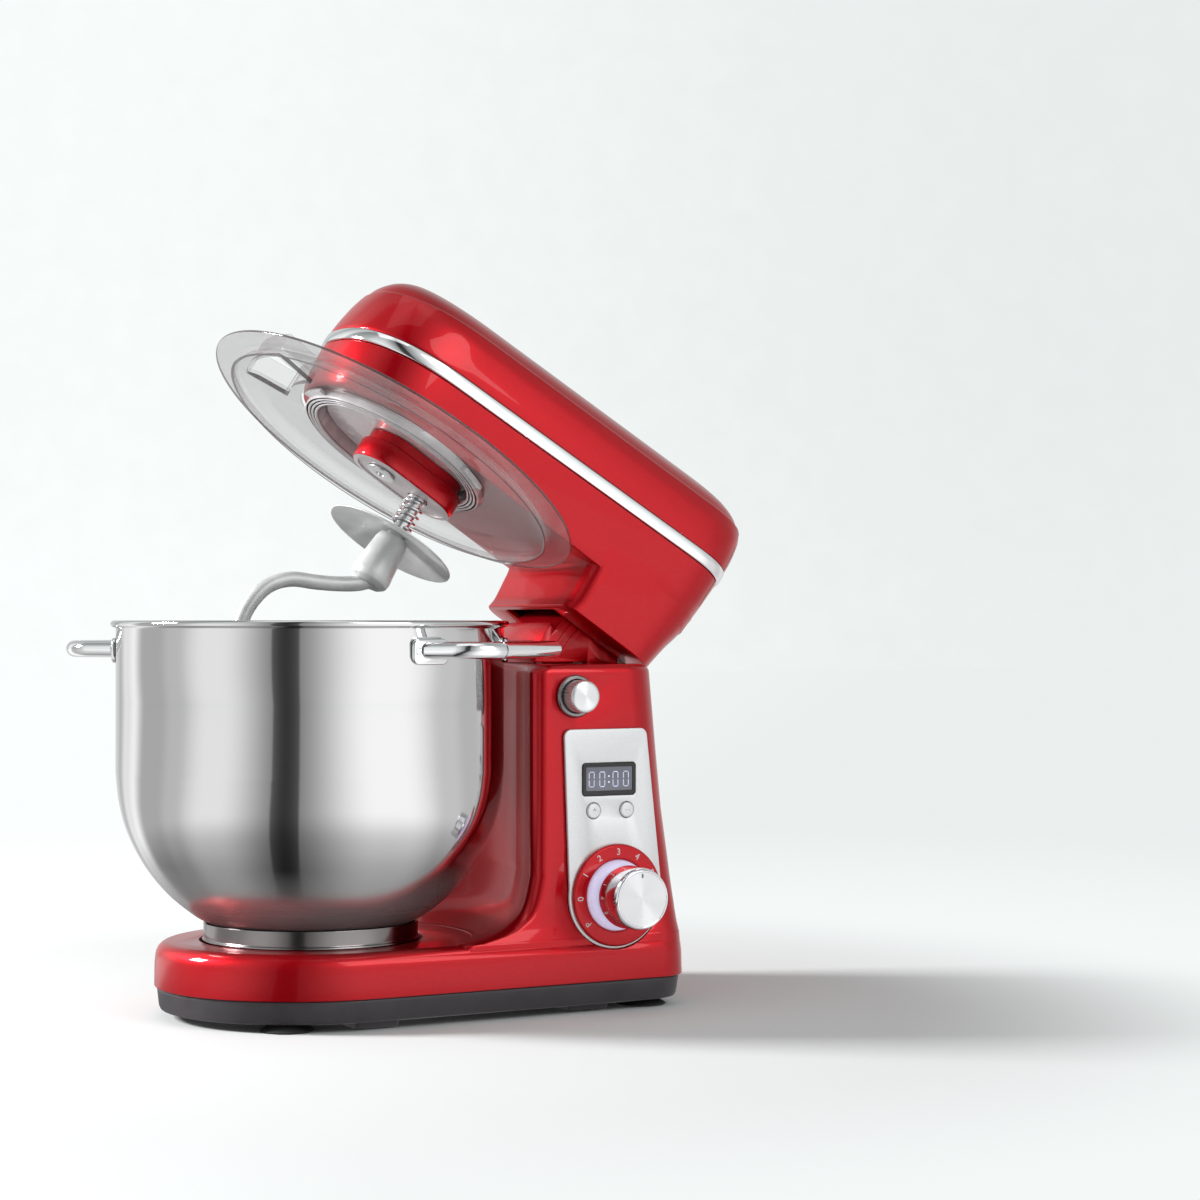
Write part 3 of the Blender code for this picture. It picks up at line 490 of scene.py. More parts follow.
def cut(obj, *cutters, operation="DIFFERENCE", sharp=SHARP):
    """Cuts the tools out of the object one after another, or joins them to it."""
    for cutter in cutters:
        modifier = obj.modifiers.new("shape", "BOOLEAN")
        modifier.operation = operation
        modifier.solver = "EXACT"
        modifier.object = cutter
        apply(obj)
        bpy.data.objects.remove(cutter)
    obj.data.set_sharp_from_angle(angle=math.radians(sharp))
    return obj


def soften(obj, width, segments, angle):
    """Rounds the edges that are steeper than the angle."""
    bevel = obj.modifiers.new("soften", "BEVEL")
    bevel.width = width * MM
    bevel.segments = segments
    bevel.limit_method = "ANGLE"
    bevel.angle_limit = math.radians(angle)
    apply(obj)
    shade(obj)


def swept(name, path, radius, where, material, sides):
    """A round bar along a path; radius may be a list as long as the path."""
    points = [Vector(p) for p in path]
    up = None
    loops = []
    for i, point in enumerate(points):
        ahead = (points[min(i + 1, len(points) - 1)] - points[max(i - 1, 0)]).normalized()
        if up is None:
            up = Vector((0, 0, 1)) if abs(ahead.z) < 0.9 else Vector((0, 1, 0))
        side = ahead.cross(up).normalized()
        up = side.cross(ahead).normalized()
        r = radius[i] if isinstance(radius, (list, tuple)) else radius
        turn = [math.tau * k / sides for k in range(sides)]
        loops.append([tuple(point + side * (r * math.cos(b)) + up * (r * math.sin(b))) for b in turn])
    return loft(name, loops, where, material, sharp=50)


def coil(name, r, wire, turns, per_turn, low, high, where, material, sides):
    """A helical spring about Z, whose wire lies between the two heights."""
    total = turns * per_turn
    rise = (high - low - 2 * wire) / total
    path = [
        (r * math.cos(math.tau * i / per_turn), r * math.sin(math.tau * i / per_turn), low + wire + rise * i)
        for i in range(total + 1)
    ]
    return swept(name, path, wire, where, material, sides)


def lettering(name, text, size, where, material, depth):
    curve = bpy.data.curves.new(name, "FONT")
    curve.body = text
    curve.size = size * MM
    curve.extrude = depth * MM
    curve.align_x = "CENTER"
    curve.align_y = "CENTER"
    text_object = place(name, curve, where)
    mesh = evaluated(text_object)
    made = place(name, mesh, where)
    bpy.data.objects.remove(text_object)
    mesh.materials.clear()
    mesh.materials.append(material)
    return made


def joined(name, pieces):
    """Several meshes made one object, in the first one's frame."""
    first = pieces[0]
    shell = bmesh.new()
    materials = []
    for piece in pieces:
        offset = len(materials)
        materials += list(piece.data.materials)
        mesh = piece.data.copy()
        mesh.transform(first.matrix_world.inverted() @ piece.matrix_world)
        for polygon in mesh.polygons:
            polygon.material_index += offset
        shell.from_mesh(mesh)
        bpy.data.meshes.remove(mesh)
    mesh = bpy.data.meshes.new(name)
    shell.to_mesh(mesh)
    shell.free()
    for material in materials:
        mesh.materials.append(material)
    obj = place(name, mesh, first.matrix_world)
    for piece in pieces:
        bpy.data.objects.remove(piece)
    return obj


def at(where, x, y, z):
    return where @ Matrix.Translation(Vector((x, y, z)) * MM)


# ---- stand ------------------------------------------------------------------------------------

BASE_HALF = 86.5
BASE_FRONT = 89.5
BASE_REAR = 207.0
SHOULDER = 200.0
PIVOT_Y = 183.0
PIVOT_Z = 190.0
FOOT_PLACES = ((58, -40), (-58, -40), (64, 182), (-64, 182))
PAD_PLACES = ((70, 5), (-70, 5), (68, 140), (-68, 140))
GLAND_HOLE = (-40, 203, 34)
REARWARD = Matrix.Rotation(-math.pi / 2, 4, "X")  # turns Z to the rear


def base_outline(margin):
    corner = 22.0
    half = BASE_HALF - margin
    rear = BASE_REAR - margin
    return (
        arc(half - corner, rear - corner, corner, 0, 90, 12)
        + arc(-half + corner, rear - corner, corner, 90, 180, 12)
        + [(x, y * BASE_FRONT / BASE_HALF) for x, y in arc(0, 0, half, 180, 360, 96)]
    )


def hollow_outline(half, front, rear, front_corner, rear_corner):
    x = half - front_corner
    y = math.sqrt((front + front_corner) ** 2 - x * x)
    to_axis = math.degrees(math.atan2(-y, -x)) % 360
    edge = math.degrees(math.atan2(y, x))
    return (
        arc(x, y, front_corner, to_axis, 360, 12)
        + arc(half - rear_corner, rear - rear_corner, rear_corner, 0, 90, 12)
        + arc(-half + rear_corner, rear - rear_corner, rear_corner, 90, 180, 12)
        + arc(-x, y, front_corner, 180, 540 - to_axis, 12)
        + arc(0, 0, front, 180 - edge, edge, 60)[1:-1]
    )


def cavity_outline(rear):
    half, front, near, far = 78.5, 133.0, 8.0, 28.0
    return (
        arc(half - near, front + near, near, -90, 0, 8)
        + arc(half - far, rear - far, far, 0, 90, 12)
        + arc(-half + far, rear - far, far, 90, 180, 12)
        + arc(-half + near, front + near, near, 180, 270, 8)
    )


def panel_outline(extra):
    """In the dial's frame: X to the rear and Y up from the dial's centre."""
    top = 91.5
    return (
        arc(0, 0, 31.0 + extra, 172, 368, 40)
        + arc(16.5, top, 4.5 + extra, 0, 90, 8)
        + arc(-29.5, top, 4.5 + extra, 90, 180, 8)
    )


DIAL_FRAME = Matrix.Translation(DIAL) @ FACING
RELEASE_FRAME = Matrix.Translation(RELEASE) @ FACING


def stand_housing():
    levels = [(0.25, 18.0), (0.0, 18.4), (0.0, 20.0), (0.2, 31.0), (0.5, 34.5)]
    turns = [math.radians(90 * k / 8) for k in range(1, 9)]
    levels += [(0.5 + 7.5 * (1 - math.cos(a)), 34.5 + 8.5 * math.sin(a)) for a in turns]
    obj = loft("stand_housing_shell", [flat(base_outline(m), z) for m, z in levels], BASE, RED)
    rows = [
        (30.0, 87.6, 85.0, 205.5),
        (42.2, 91.2, 84.6, 204.6),
        (43.6, 95.0, 84.4, 204.3),
        (45.4, 100.6, 84.2, 204.0),
        (48.0, 107.4, 83.8, 203.5),
        (52.0, 114.0, 83.2, 203.0),
        (60.0, 121.0, 82.5, 202.0),
        (75.0, 125.0, 82.1, 200.5),
        (94.0, 126.0, 82.0, 198.8),
        (195.0, 126.0, 82.0, 188.9),
    ]
    rows = curve_through(rows, 4)
    for a in [math.radians(90 * k / 6) for k in range(1, 7)]:
        turn = 1 - math.cos(a)
        rows.append((195.0 + 5 * math.sin(a), 126.0 + 5 * turn, 82 - 4.2 * turn, 188.9 - 5 * turn))
    loops = []
    for z, front, half, rear in rows:
        rear_corner = 18.0 + 8.0 * min(1, max(0, (z - 60) / 60))
        loops.append(flat(hollow_outline(half, front, rear, 8.0, rear_corner), z))
    column = loft("column", loops, BASE, RED)
    cut(obj, column, operation="UNION")
    cut(
        obj,
        prism(base_outline(4.0), 10, 28.5, BASE),
        loft("hollow", [flat(cavity_outline(201.0), 20), flat(cavity_outline(185.0), 196)], BASE, RED),
        prism(circle(64, 96), 33, 60, BASE),
        prism(rounded(-29.5, 29.5, 165.5, 225, 2), 177, 210, BASE),
        prism(circle(10.2, 64), -30, 9, RELEASE_FRAME),
        prism(rounded(-23.2, 22, -18.5, 83, 2), -6, 9, DIAL_FRAME),
        prism(panel_outline(0.45), -0.3, 12, DIAL_FRAME),
        prism(circle(5.2, 32), -20, 20, at(BASE, *GLAND_HOLE) @ REARWARD),
    )
    soften(obj, 0.35, 2, 50)
    keep(obj, "stand", "red", "stand_housing")


def base_tray():
    levels = [(5.0, 4.6), (3.4, 5.2), (2.6, 7.0), (1.6, 15.6), (1.5, 17.0), (1.8, 17.7)]
    obj = loft("base_tray_shell", [flat(base_outline(m), z) for m, z in levels], BASE, DARK)
    cut(
        obj,
        prism(base_outline(6.0), 7.2, 30, BASE),
        *[prism(circle(4, 24), 0, 20, at(BASE, x, y, 0)) for x, y in FOOT_PLACES],
    )
    for x, y in PAD_PLACES:
        pad = slab("pad", rounded(x - 9, x + 9, y - 13, y + 13, 2), 1.2, 6.0, BASE, RUBBER, 0.6)
        cut(obj, pad, operation="UNION")
    soften(obj, 0.3, 2, 45)
    keep(obj, "stand", "dark", "base_tray")


def suction_feet():
    profile = [(0, 0.5), (8.0, 0.1), (15.0, 0.1), (15.4, 0.7), (14.2, 1.5), (11.0, 3.2), (9.4, 4.2)]
    profile += [(8.6, 4.25), (3.8, 4.28), (3.7, 8.4), (0, 8.5)]
    for number, (x, y) in enumerate(FOOT_PLACES, 1):
        obj = lathe(f"suction_foot_{number}", profile, at(BASE, x, y, 0), RUBBER, 64, 0.35)
        keep(obj, "stand", "rubber", f"foot_{number}")


def cord_gland():
    profile = [(2.6, -8), (5.0, -8), (5.0, 1.6), (7.4, 1.7), (7.4, 3.9)]
    for k in range(4):
        z = 5.2 + 2.7 * k
        r = 5.2 - 0.25 * k
        profile += [(r, z - 0.9), (r, z), (r - 0.7, z + 0.4), (r - 0.7, z + 1.2)]
    profile += [(4.1, 15.4), (2.6, 16)]
    where = at(BASE, *GLAND_HOLE) @ REARWARD @ Matrix.Translation((0, 0, 2.4 * MM))
    keep(lathe("cord_gland_sleeve", profile, where, RUBBER, 48, 0.3), "stand", "rubber", "cord_gland")


def around(r, degrees):
    a = math.radians(degrees)
    return (PIVOT_Y + r * math.cos(a), PIVOT_Z + r * math.sin(a))


def side_loft(name, points, levels):
    """Lofts a shape drawn in the Y-Z plane across X; a level is an X and how far it is inset."""
    return loft(name, [[(x, y, z) for y, z in inset(points, k)] for x, k in levels], BASE, RED)


def hinge_tower():
    seat = SHOULDER + GAP
    low = math.degrees(math.asin((seat - PIVOT_Z) / 53.0))
    shape = (
        [(PIVOT_Y - 16.5, seat), (PIVOT_Y - 16.5, 178.5), (PIVOT_Y + 5.5, 178.5), (PIVOT_Y + 5.5, 214)]
        + [around(49, a) for a in range(96, 141, 4)]
        + [around(53, a) for a in list(range(140, 168, 3)) + [180 - low]]
    )
    levels = [(-28.0, 0.9), (-27.7, 0.3), (-27.1, 0), (27.1, 0), (27.7, 0.3), (28.0, 0.9)]
    obj = side_loft("hinge_tower_shell", shape, levels)
    inner = (
        [(PIVOT_Y - 13.5, seat - 5), (PIVOT_Y - 13.5, 170), (PIVOT_Y + 12, 170), (PIVOT_Y + 12, 214)]
        + [(PIVOT_Y - 3, 260), around(54, 111)]
        + [around(46, a) for a in range(111, 141, 4)]
        + [around(50, a) for a in range(140, 167, 4)]
        + [(137.0, seat + 3), (PIVOT_Y - 20.0, seat + 3)]
    )
    cut(obj, side_loft("tower_hollow", inner, [(-22, 0), (22, 0)]))
    for side in (-1, 1):
        levels = sorted([(27.0 * side, 0), (28.6 * side, 0)])
        for outer, inner_r, first, last in ((43, 40.4, 104, 164), (37.6, 36.4, 112, 160)):
            rib = [around(outer, a) for a in range(first, last, 4)]
            rib += [around(inner_r, a) for a in range(last - 4, first - 1, -4)]
            cut(obj, side_loft("rib", rib, levels), operation="UNION")
    soften(obj, 0.5, 3, 40)
    keep(obj, "stand", "red", "hinge_tower")


# ---- controls ---------------------------------------------------------------------------------

DISPLAY = (-22.4, 13.0, 57.6, 76.4)
TIMERS = (("timer_up", "timer_up_button", -15.0, "+"), ("timer_down", "timer_down_button", 7.0, "–"))
TIMER_HEIGHT = 49.0
DIGIT_PLACES = (-16.4, -9.4, -0.6, 6.4)
SEGMENTS = {  # a seven-segment cell: each bar's centre and whether it lies flat
    "top": (0.5, 1.0, True),
    "upper_left": (0.0, 0.75, False),
    "upper_right": (1.0, 0.75, False),
    "lower_left": (0.0, 0.25, False),
    "lower_right": (1.0, 0.25, False),
    "bottom": (0.5, 0.0, True),
}


def control_panel():
    hole = rounded(DISPLAY[0] - 0.25, DISPLAY[1] + 0.25, DISPLAY[2] - 0.25, DISPLAY[3] + 0.25, 2.4)
    holes = [hole, circle(18.0, 80)]
    holes += [circle(4.9, 48, x, TIMER_HEIGHT) for _, _, x, _ in TIMERS]
    obj = slab("control_panel_plate", panel_outline(0), 0, 2.0, DIAL_FRAME, SILVER, 0.6, holes)
    soften(obj, 0.2, 2, 60)
    keep(obj, "stand", "silver", "control_panel")


def display():
    x0, x1, y0, y1 = DISPLAY
    frame_piece = slab("display_frame", rounded(x0, x1, y0, y1, 2.2), -3.0, 2.5, DIAL_FRAME, BLACK, 0.4)
    window = rounded(x0 + 2.2, x1 - 2.2, y0 + 2.6, y1 - 2.2, 1.0)
    cut(frame_piece, prism(window, 1.9, 9, DIAL_FRAME))
    pane = slab("display_pane", inset(window, 0.15), 1.5, 2.25, DIAL_FRAME, PANE, 0.1)
    digits = []
    wide, tall, thick = 3.3, 8.4, 0.52
    middle = (y0 + y1) / 2
    for x in DIGIT_PLACES:
        for across, up, lying in SEGMENTS.values():
            cx = x - wide / 2 + wide * across
            cy = middle - tall / 2 + tall * up
            half = (wide / 2 - 0.2, thick / 2) if lying else (thick / 2, tall / 4 - 0.3)
            bar = rounded(cx - half[0], cx + half[0], cy - half[1], cy + half[1], 0.35, 3)
            digits.append(slab("segment", bar, 2.2, 2.36, DIAL_FRAME, DIGIT, 0.05))
    for up in (-1.7, 1.7):
        digits.append(slab("dot", circle(0.55, 16, -5.0, middle + up), 2.2, 2.36, DIAL_FRAME, DIGIT, 0.05))
    assembly = joined("display_assembly", [frame_piece, pane] + digits)
    keep(assembly, "stand", "display", "display_window")


def timer_buttons():
    for body, node, x, mark in TIMERS:
        where = at(DIAL_FRAME, x, TIMER_HEIGHT, 0)
        profile = [(0, -7), (2, -7), (2, -3.2), (4.5, -3.2), (4.5, 2.4), (3.9, 3.15), (0, 3.3)]
        cap = lathe("cap", profile, where, SILVER, 48, 0.5)
        sign = lettering("sign", mark, 5.0, at(where, 0, 0.2, 3.18), INK, 0.1)
        keep(joined(f"{body}_cap", [cap, sign]), body, "silver", node)


MARK_RADIUS = 25.0
MARKS = (("P", 218), ("0", 182), ("1", 150), ("2", 120), ("3", 90), ("4", 60), ("5", 30), ("6", 0))


def dial():
    profile = [(20.5, 2.35), (29.4, 2.35), (29.6, 3.4), (28.7, 4.7), (21.4, 4.8), (20.5, 4.2)]
    pieces = [lathe("ring", profile, DIAL_FRAME, RED, 128, 0.5)]
    for text, angle in MARKS:
        a = math.radians(angle)
        where = at(DIAL_FRAME, MARK_RADIUS * math.cos(a), MARK_RADIUS * math.sin(a), 4.78)
        where = where @ Matrix.Rotation(math.radians(angle - 90), 4, "Z")
        pieces.append(lettering("mark", text, 5.4, where, PRINT, 0.06))
    keep(joined("dial_ring_marked", pieces), "stand", "red", "dial_ring")

    collar = [(9.5, -0.6), (17.6, -0.6), (17.6, 2.35), (20.1, 2.35), (20.1, 5.2), (19.0, 7.4), (17.2, 8.6)]
    collar += [(15.6, 9.0), (9.5, 9.0)]
    keep(lathe("light_ring_lens", collar, DIAL_FRAME, LIT, 96, 0.6), "stand", "light", "light_ring")


def speed_knob():
    profile = [(0, 24.0), (3.3, 24.0), (3.3, 10.05), (16.6, 10.05), (17.6, 11.0), (18.1, 15.5), (17.7, 29.4)]
    profile += [(17.0, 31.4), (16.4, 32.1), (15.8, 32.2), (15.6, 31.75), (0, 31.75)]
    knob = lathe("speed_knob_cap", profile, DIAL_FRAME, KNOB_SIDE, 128, 0.4)
    paint(knob, KNOB_FACE, lambda r, z, normal: r < 15.6 and z > 31.0)
    keep(knob, "knob", "aluminium", "speed_knob")
    mark = slab("knob_pointer", rounded(-0.45, 0.45, 12.2, 14.6, 0.4, 4), 31.6, 32.0, DIAL_FRAME, INK, 0.08)
    keep(mark, "knob", "dark")


def release_button():
    ring = [(9.9, -6.0), (10.0, -6.0), (10.0, 0.0), (12.2, 0.0), (12.2, 1.4), (11.4, 2.4), (9.9, 2.4)]
    bezel = lathe("release_bezel_ring", ring, RELEASE_FRAME, FOOT_STEEL, 72, 0.35)
    keep(bezel, "stand", "dark", "release_bezel")
    profile = [(0, -25.5), (3.4, -25.5), (3.4, -14.2), (7.6, -14.2), (7.6, -12.2), (3.4, -12.2)]
    profile += [(3.4, -3.0), (9.2, -3.0), (9.2, 8.0), (9.2, 11.4), (8.7, 12.6), (7.6, 13.1), (0, 13.2)]
    cap = lathe("release_button_cap", profile, RELEASE_FRAME, KNOB_FACE, 144, 0.25)
    for vertex in cap.data.vertices:
        x, y, z = vertex.co
        if 0.0 < z < 11.8 * MM and math.hypot(x, y) > 8.9 * MM:  # the knurled side
            push = 1 + 0.028 * math.cos(36 * math.atan2(y, x))
            vertex.co = (x * push, y * push, z)
    keep(cap, "release", "silver", "release_button")

    low, high = -29.4, -14.6
    spring = coil("release_spring_coil", 5.6, 0.6, 4, 24, low, high, RELEASE_FRAME, STEEL, 10)
    keep(spring, "stand", "steel", "release_spring")
    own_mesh(spring)


# ---- bowl -------------------------------------------------------------------------------------


def bowl():
    outside = [(0, 47.0), (30, 47.5), (48, 49.5), (61.5, 54.3), (71, 60.5), (82, 70.0), (92.4, 82.5)]
    outside += [(100.4, 96.0), (106.2, 110.0), (109.6, 125.0), (111, 140.0)]
    outer = curve_through(outside, 5)
    inner = [(max(0.0, r - 1.15 * min(1, r / 70)), z + 1.2 * (1 - r / 115)) for r, z in reversed(outer)]
    roll = 1.95
    lip = arc(112.0, 223.4, roll, -100, 195, 14)
    profile = outer + [(111.0, 180.0), (111.0, 220.6)] + lip + [(109.85, 221.0), (109.85, 180.0)] + inner
    obj = lathe("bowl_spun", profile, BASE, BOWL_STEEL, 200, sharp=50)
    keep(obj, "bowl", "bowl_steel", "bowl")


def bowl_foot():
    profile = [(59.9, 34.1), (61.8, 34.1), (62.6, 35.1), (61.8, 36.3), (61.4, 37.2), (61.4, 41.6)]
    profile += [(62.2, 42.6), (62.2, 43.8), (61.4, 44.8), (61.4, 53.3), (59.9, 52.8)]
    ring = lathe("bowl_foot_ring", profile, BASE, FOOT_STEEL, 160, 0.5)
    for turn in BAYONET:
        cut(ring, prism(sector(55.6, 60.6, turn, 9, 8), 34.4, 36.4, BASE), operation="UNION")
    keep(ring, "bowl", "bowl_steel", "bowl_foot")


def bowl_handle(side, turn):
    half, reach, corner, height = 50.0, 137.5, 20.0, 209.0
    wall, skin = 112.6, 111.0  # the bowl's radius where the bar and where the plates meet it
    start = math.sqrt(wall**2 - half**2) + 0.4
    path = [(start - 0.6, -half), (start + 4, -half)]
    path += arc(reach - corner, -half + corner, corner, -90, 0, 14)
    path += arc(reach - corner, half - corner, corner, 0, 90, 14)
    path += [(start + 4, half), (start - 0.6, half)]
    where = BASE @ Matrix.Rotation(math.radians(turn), 4, "Z")
    fine = curve_through([(x, y, height) for x, y in path], 2)
    pieces = [swept("bar", fine, 4.8, where, CHROME, 28)]
    for end in (-1, 1):
        middle = end * (math.asin(half / skin) - math.radians(1.5))
        loops = []
        for depth, shrink in ((0.35, 0.0), (1.5, 0.0), (2.2, 0.35), (2.55, 1.1)):
            outline = rounded(-12.2 + shrink, 12.2 - shrink, -8 + shrink, 6.4 - shrink, 4.5 - shrink, 8)
            loop = []
            for u, v in outline:
                a = middle + u / skin
                r = skin + depth
                loop.append((r * math.cos(a), r * math.sin(a), height + v))
            loops.append(loop)
        pieces.append(loft("plate", loops, where, CHROME, sharp=50))
        for offset in (-8.6, 8.6):
            spot = at(where @ Matrix.Rotation(middle + offset / skin, 4, "Z"), 113.4, 0, height - 0.6)
            dome = [(0, 0), (2.0, 0), (1.7, 0.5), (0.9, 0.8), (0, 0.9)]
            pieces.append(lathe("rivet", dome, spot @ Matrix.Rotation(math.pi / 2, 4, "Y"), CHROME, 24))
    keep(joined(f"bowl_grip_{side}", pieces), "bowl", "chrome", f"bowl_handle_{side}")


# ---- head -------------------------------------------------------------------------------------

RISE = 0.045  # how steeply the trim band climbs to the rear
BAND_LOW = 42.6
BAND_HIGH = 50.4
NECK_FLOOR = -17.0
REAR_FROM = 168.0
FRONT_FROM = -5.0
REAR_SQUARENESS = 3.2  # 2 would be an ellipse
NOSE_SQUARENESS = 2.35
PLAN_STEPS = 36
CHUTE_TURN = 262  # degrees about the hub
BAYONET = (30, 150, 270)  # degrees: the middles of the bowl's tabs and of the gearbox ring's lugs


def leaning(points, v):
    return [(x, y, v + RISE * y) for x, y in points]


def corner_curve(half, depth, squareness):
    """A quarter of a squarish round: from (half, 0) to (0, depth)."""
    points = []
    for i in range(PLAN_STEPS):
        a = math.radians(90 * i / PLAN_STEPS)
        points.append((half * math.cos(a) ** (2 / squareness), depth * math.sin(a) ** (2 / squareness)))
    return points + [(0.0, depth)]


def rear_outline(half, rear):
    """The head's squarish rear in plan, from its right side round to its left."""
    points = [(x, REAR_FROM + y) for x, y in corner_curve(half, rear - REAR_FROM, REAR_SQUARENESS)]
    return points + [(-x, y) for x, y in reversed(points[:-1])]


def neck_outline(half, front, rear, corner):
    return (
        rear_outline(half, rear)
        + arc(-half + corner, front + corner, corner, 180, 270, 12)
        + arc(half - corner, front + corner, corner, 270, 360, 12)
    )


def head_outline(half, nose, rear):
    front = [(-x, FRONT_FROM - y) for x, y in corner_curve(half, FRONT_FROM - nose, NOSE_SQUARENESS)]
    return rear_outline(half, rear) + front + [(-x, y) for x, y in reversed(front[:-1])]


def cover_loop(half, nose, rear, v):
    """The full outline of the head, drawn in from its middle to this size."""
    full_half, full_nose, full_rear, middle = 57.8, -67.0, 213.6, 78.0
    points = []
    for x, y in head_outline(full_half, full_nose, full_rear):
        end, full_end = (nose, full_nose) if y < middle else (rear, full_rear)
        along = (end - middle) / (full_end - middle)
        points.append((x * half / full_half, middle + (y - middle) * along))
    return leaning(points, v)


COVER_SIDE = (
    (BAND_HIGH + 0.35, 57.3, -66.5, 213.1),
    (BAND_HIGH + 0.6, 57.7, -66.9, 213.5),
    (54.0, 57.7, -66.9, 213.8),
    (60.0, 57.2, -66.3, 214.0),
    (66.0, 56.2, -65.4, 213.8),
    (72.0, 54.8, -64.3, 213.3),
    (78.2, 52.2, -62.7, 211.9),
)
COVER_CROWN = (
    (79.2, 51.6, -62.4, 211.4),
    (79.7, 50.4, -61.8, 210.6),
    (80.6, 48.9, -61.2, 210.0),
    (84.2, 45.6, -60.0, 208.0),
    (88.0, 40.8, -57.8, 204.6),
    (92.3, 33.0, -53.5, 199.6),
    (96.7, 22.0, -45.5, 190.0),
    (99.5, 12.0, -33.0, 176.0),
    (100.8, 4.0, -13.0, 155.0),
    (100.9, 0.6, 40.0, 110.0),
)


def top_cover():
    rows = curve_through(COVER_SIDE, 3) + curve_through(COVER_CROWN, 4)
    outer = [cover_loop(h, n, r, v) for v, h, n, r in rows]
    roof = [COVER_SIDE[k] for k in (3, 5, 6)] + [COVER_CROWN[k] for k in (3, 5, 6, 7)]
    inner = [cover_loop(h - 2.6, n + 2.6, r - 2.6, v - 2.4) for v, h, n, r in reversed(roof)]
    inner.append(cover_loop(55.0, -64.2, 210.8, BAND_HIGH + 0.35))
    obj = loft("head_top_shell", inner + outer, HEAD, RED, sharp=26)
    cut(obj, seam_tool(203.0, (BAND_HIGH - 6, 76.0), (56.9, -66.0, 212.6)), sharp=26)
    keep(obj, "head", "red", "head_top_cover")


def seam_tool(w, levels, core_size):
    """A thin plate across the head that cuts a parting line no deeper than the core leaves it."""
    plate = prism([(-70, w), (70, w), (70, w + 0.55), (-70, w + 0.55)], -60, 130, HEAD)
    outline = head_outline(*core_size)
    return cut(plate, loft("core", [leaning(outline, v) for v in levels], HEAD, RED))


def lower_housing():
    rows = [
        (10.5, 55.0, -61.0, 205.6, 0),
        (10.9, 55.4, -61.4, 206.0, 0),
        (14.0, 56.0, -63.2, 208.0, 0),
        (24.0, 57.0, -65.2, 210.5, 1),
        (BAND_LOW - 0.9, 57.6, -66.4, 212.3, 1),
        (BAND_LOW - 0.35, 57.2, -66.0, 211.9, 1),
    ]
    loops = []
    for v, half, nose, rear, leans in rows:
        outline = head_outline(half, nose, rear)
        loops.append(leaning(outline, v) if leans else flat(outline, v))
    obj = loft("head_lower_shell", loops, HEAD, RED)
    edge = [(-19.5, 53.4, 122.9, 197.4), (-19.3, 53.8, 122.5, 197.8)]
    neck_rows = [(-18.9, 54.1, 122.3, 198.1), (-16.0, 54.5, 123.0, 198.6), (-12.0, 54.9, 123.5, 199.4)]
    neck_rows += [(0.0, 55.9, 123.1, 202.4), (10.0, 56.3, 122.0, 206.0), (24.0, 56.6, 116.0, 209.6)]
    outlines = [flat(neck_outline(h, f, r, 10), v) for v, h, f, r in edge + curve_through(neck_rows, 4)]
    cut(obj, loft("neck", outlines, HEAD, RED), operation="UNION")
    inside = [(NECK_FLOOR, 51.4, 126.5, 195.6), (-12, 52.1, 127.0, 196.6)]
    inside += [(0, 53.1, 126.6, 199.4), (10, 53.3, 125.6, 202.8), (22, 53.3, 120.0, 204.6)]
    hollow = [flat(head_outline(53.0, -59.0, 203.0), 13.5)]
    hollow.append(leaning(head_outline(54.5, -62.6, 208.0), 24.0))
    hollow.append(leaning(head_outline(55.1, -63.8, 209.8), 60.0))
    cut(
        obj,
        loft("hollow", hollow, HEAD, RED),
        prism(circle(52.4, 96), 0, 20, HEAD),
        loft("neck_inside", [flat(neck_outline(h, f, r, 7), v) for v, h, f, r in inside], HEAD, RED),
        prism(rounded(-30, 30, 126.4, 193.6, 2), -35, NECK_FLOOR + 2, HEAD),
    )
    cut(obj, seam_tool(201.0, (5.0, 41.0), (56.6, -64.0, 210.6)))
    soften(obj, 0.5, 3, 48)
    keep(obj, "head", "red", "head_lower_housing")


def trim_band():
    outside = [
        (57.6, -66.6, 212.7, BAND_LOW + 0.05),
        (58.1, -67.2, 213.3, BAND_LOW + 0.35),
        (58.5, -67.6, 213.7, BAND_LOW + 1.0),
        (58.62, -67.75, 214.0, (BAND_LOW + BAND_HIGH) / 2),
        (58.5, -67.6, 214.0, BAND_HIGH - 1.0),
        (58.1, -67.2, 213.8, BAND_HIGH - 0.35),
        (57.6, -66.9, 213.4, BAND_HIGH - 0.05),
    ]
    loops = [leaning(head_outline(h, n, r), v) for h, n, r, v in outside]
    loops += [leaning(head_outline(55.2, -64.0, 210.6), v) for v in (BAND_HIGH - 0.05, BAND_LOW + 0.05)]
    loops.append(loops[0])
    obj = loft("trim_band_chrome", loops, HEAD, CHROME, caps=False)
    keep(obj, "head", "chrome", "trim_band")


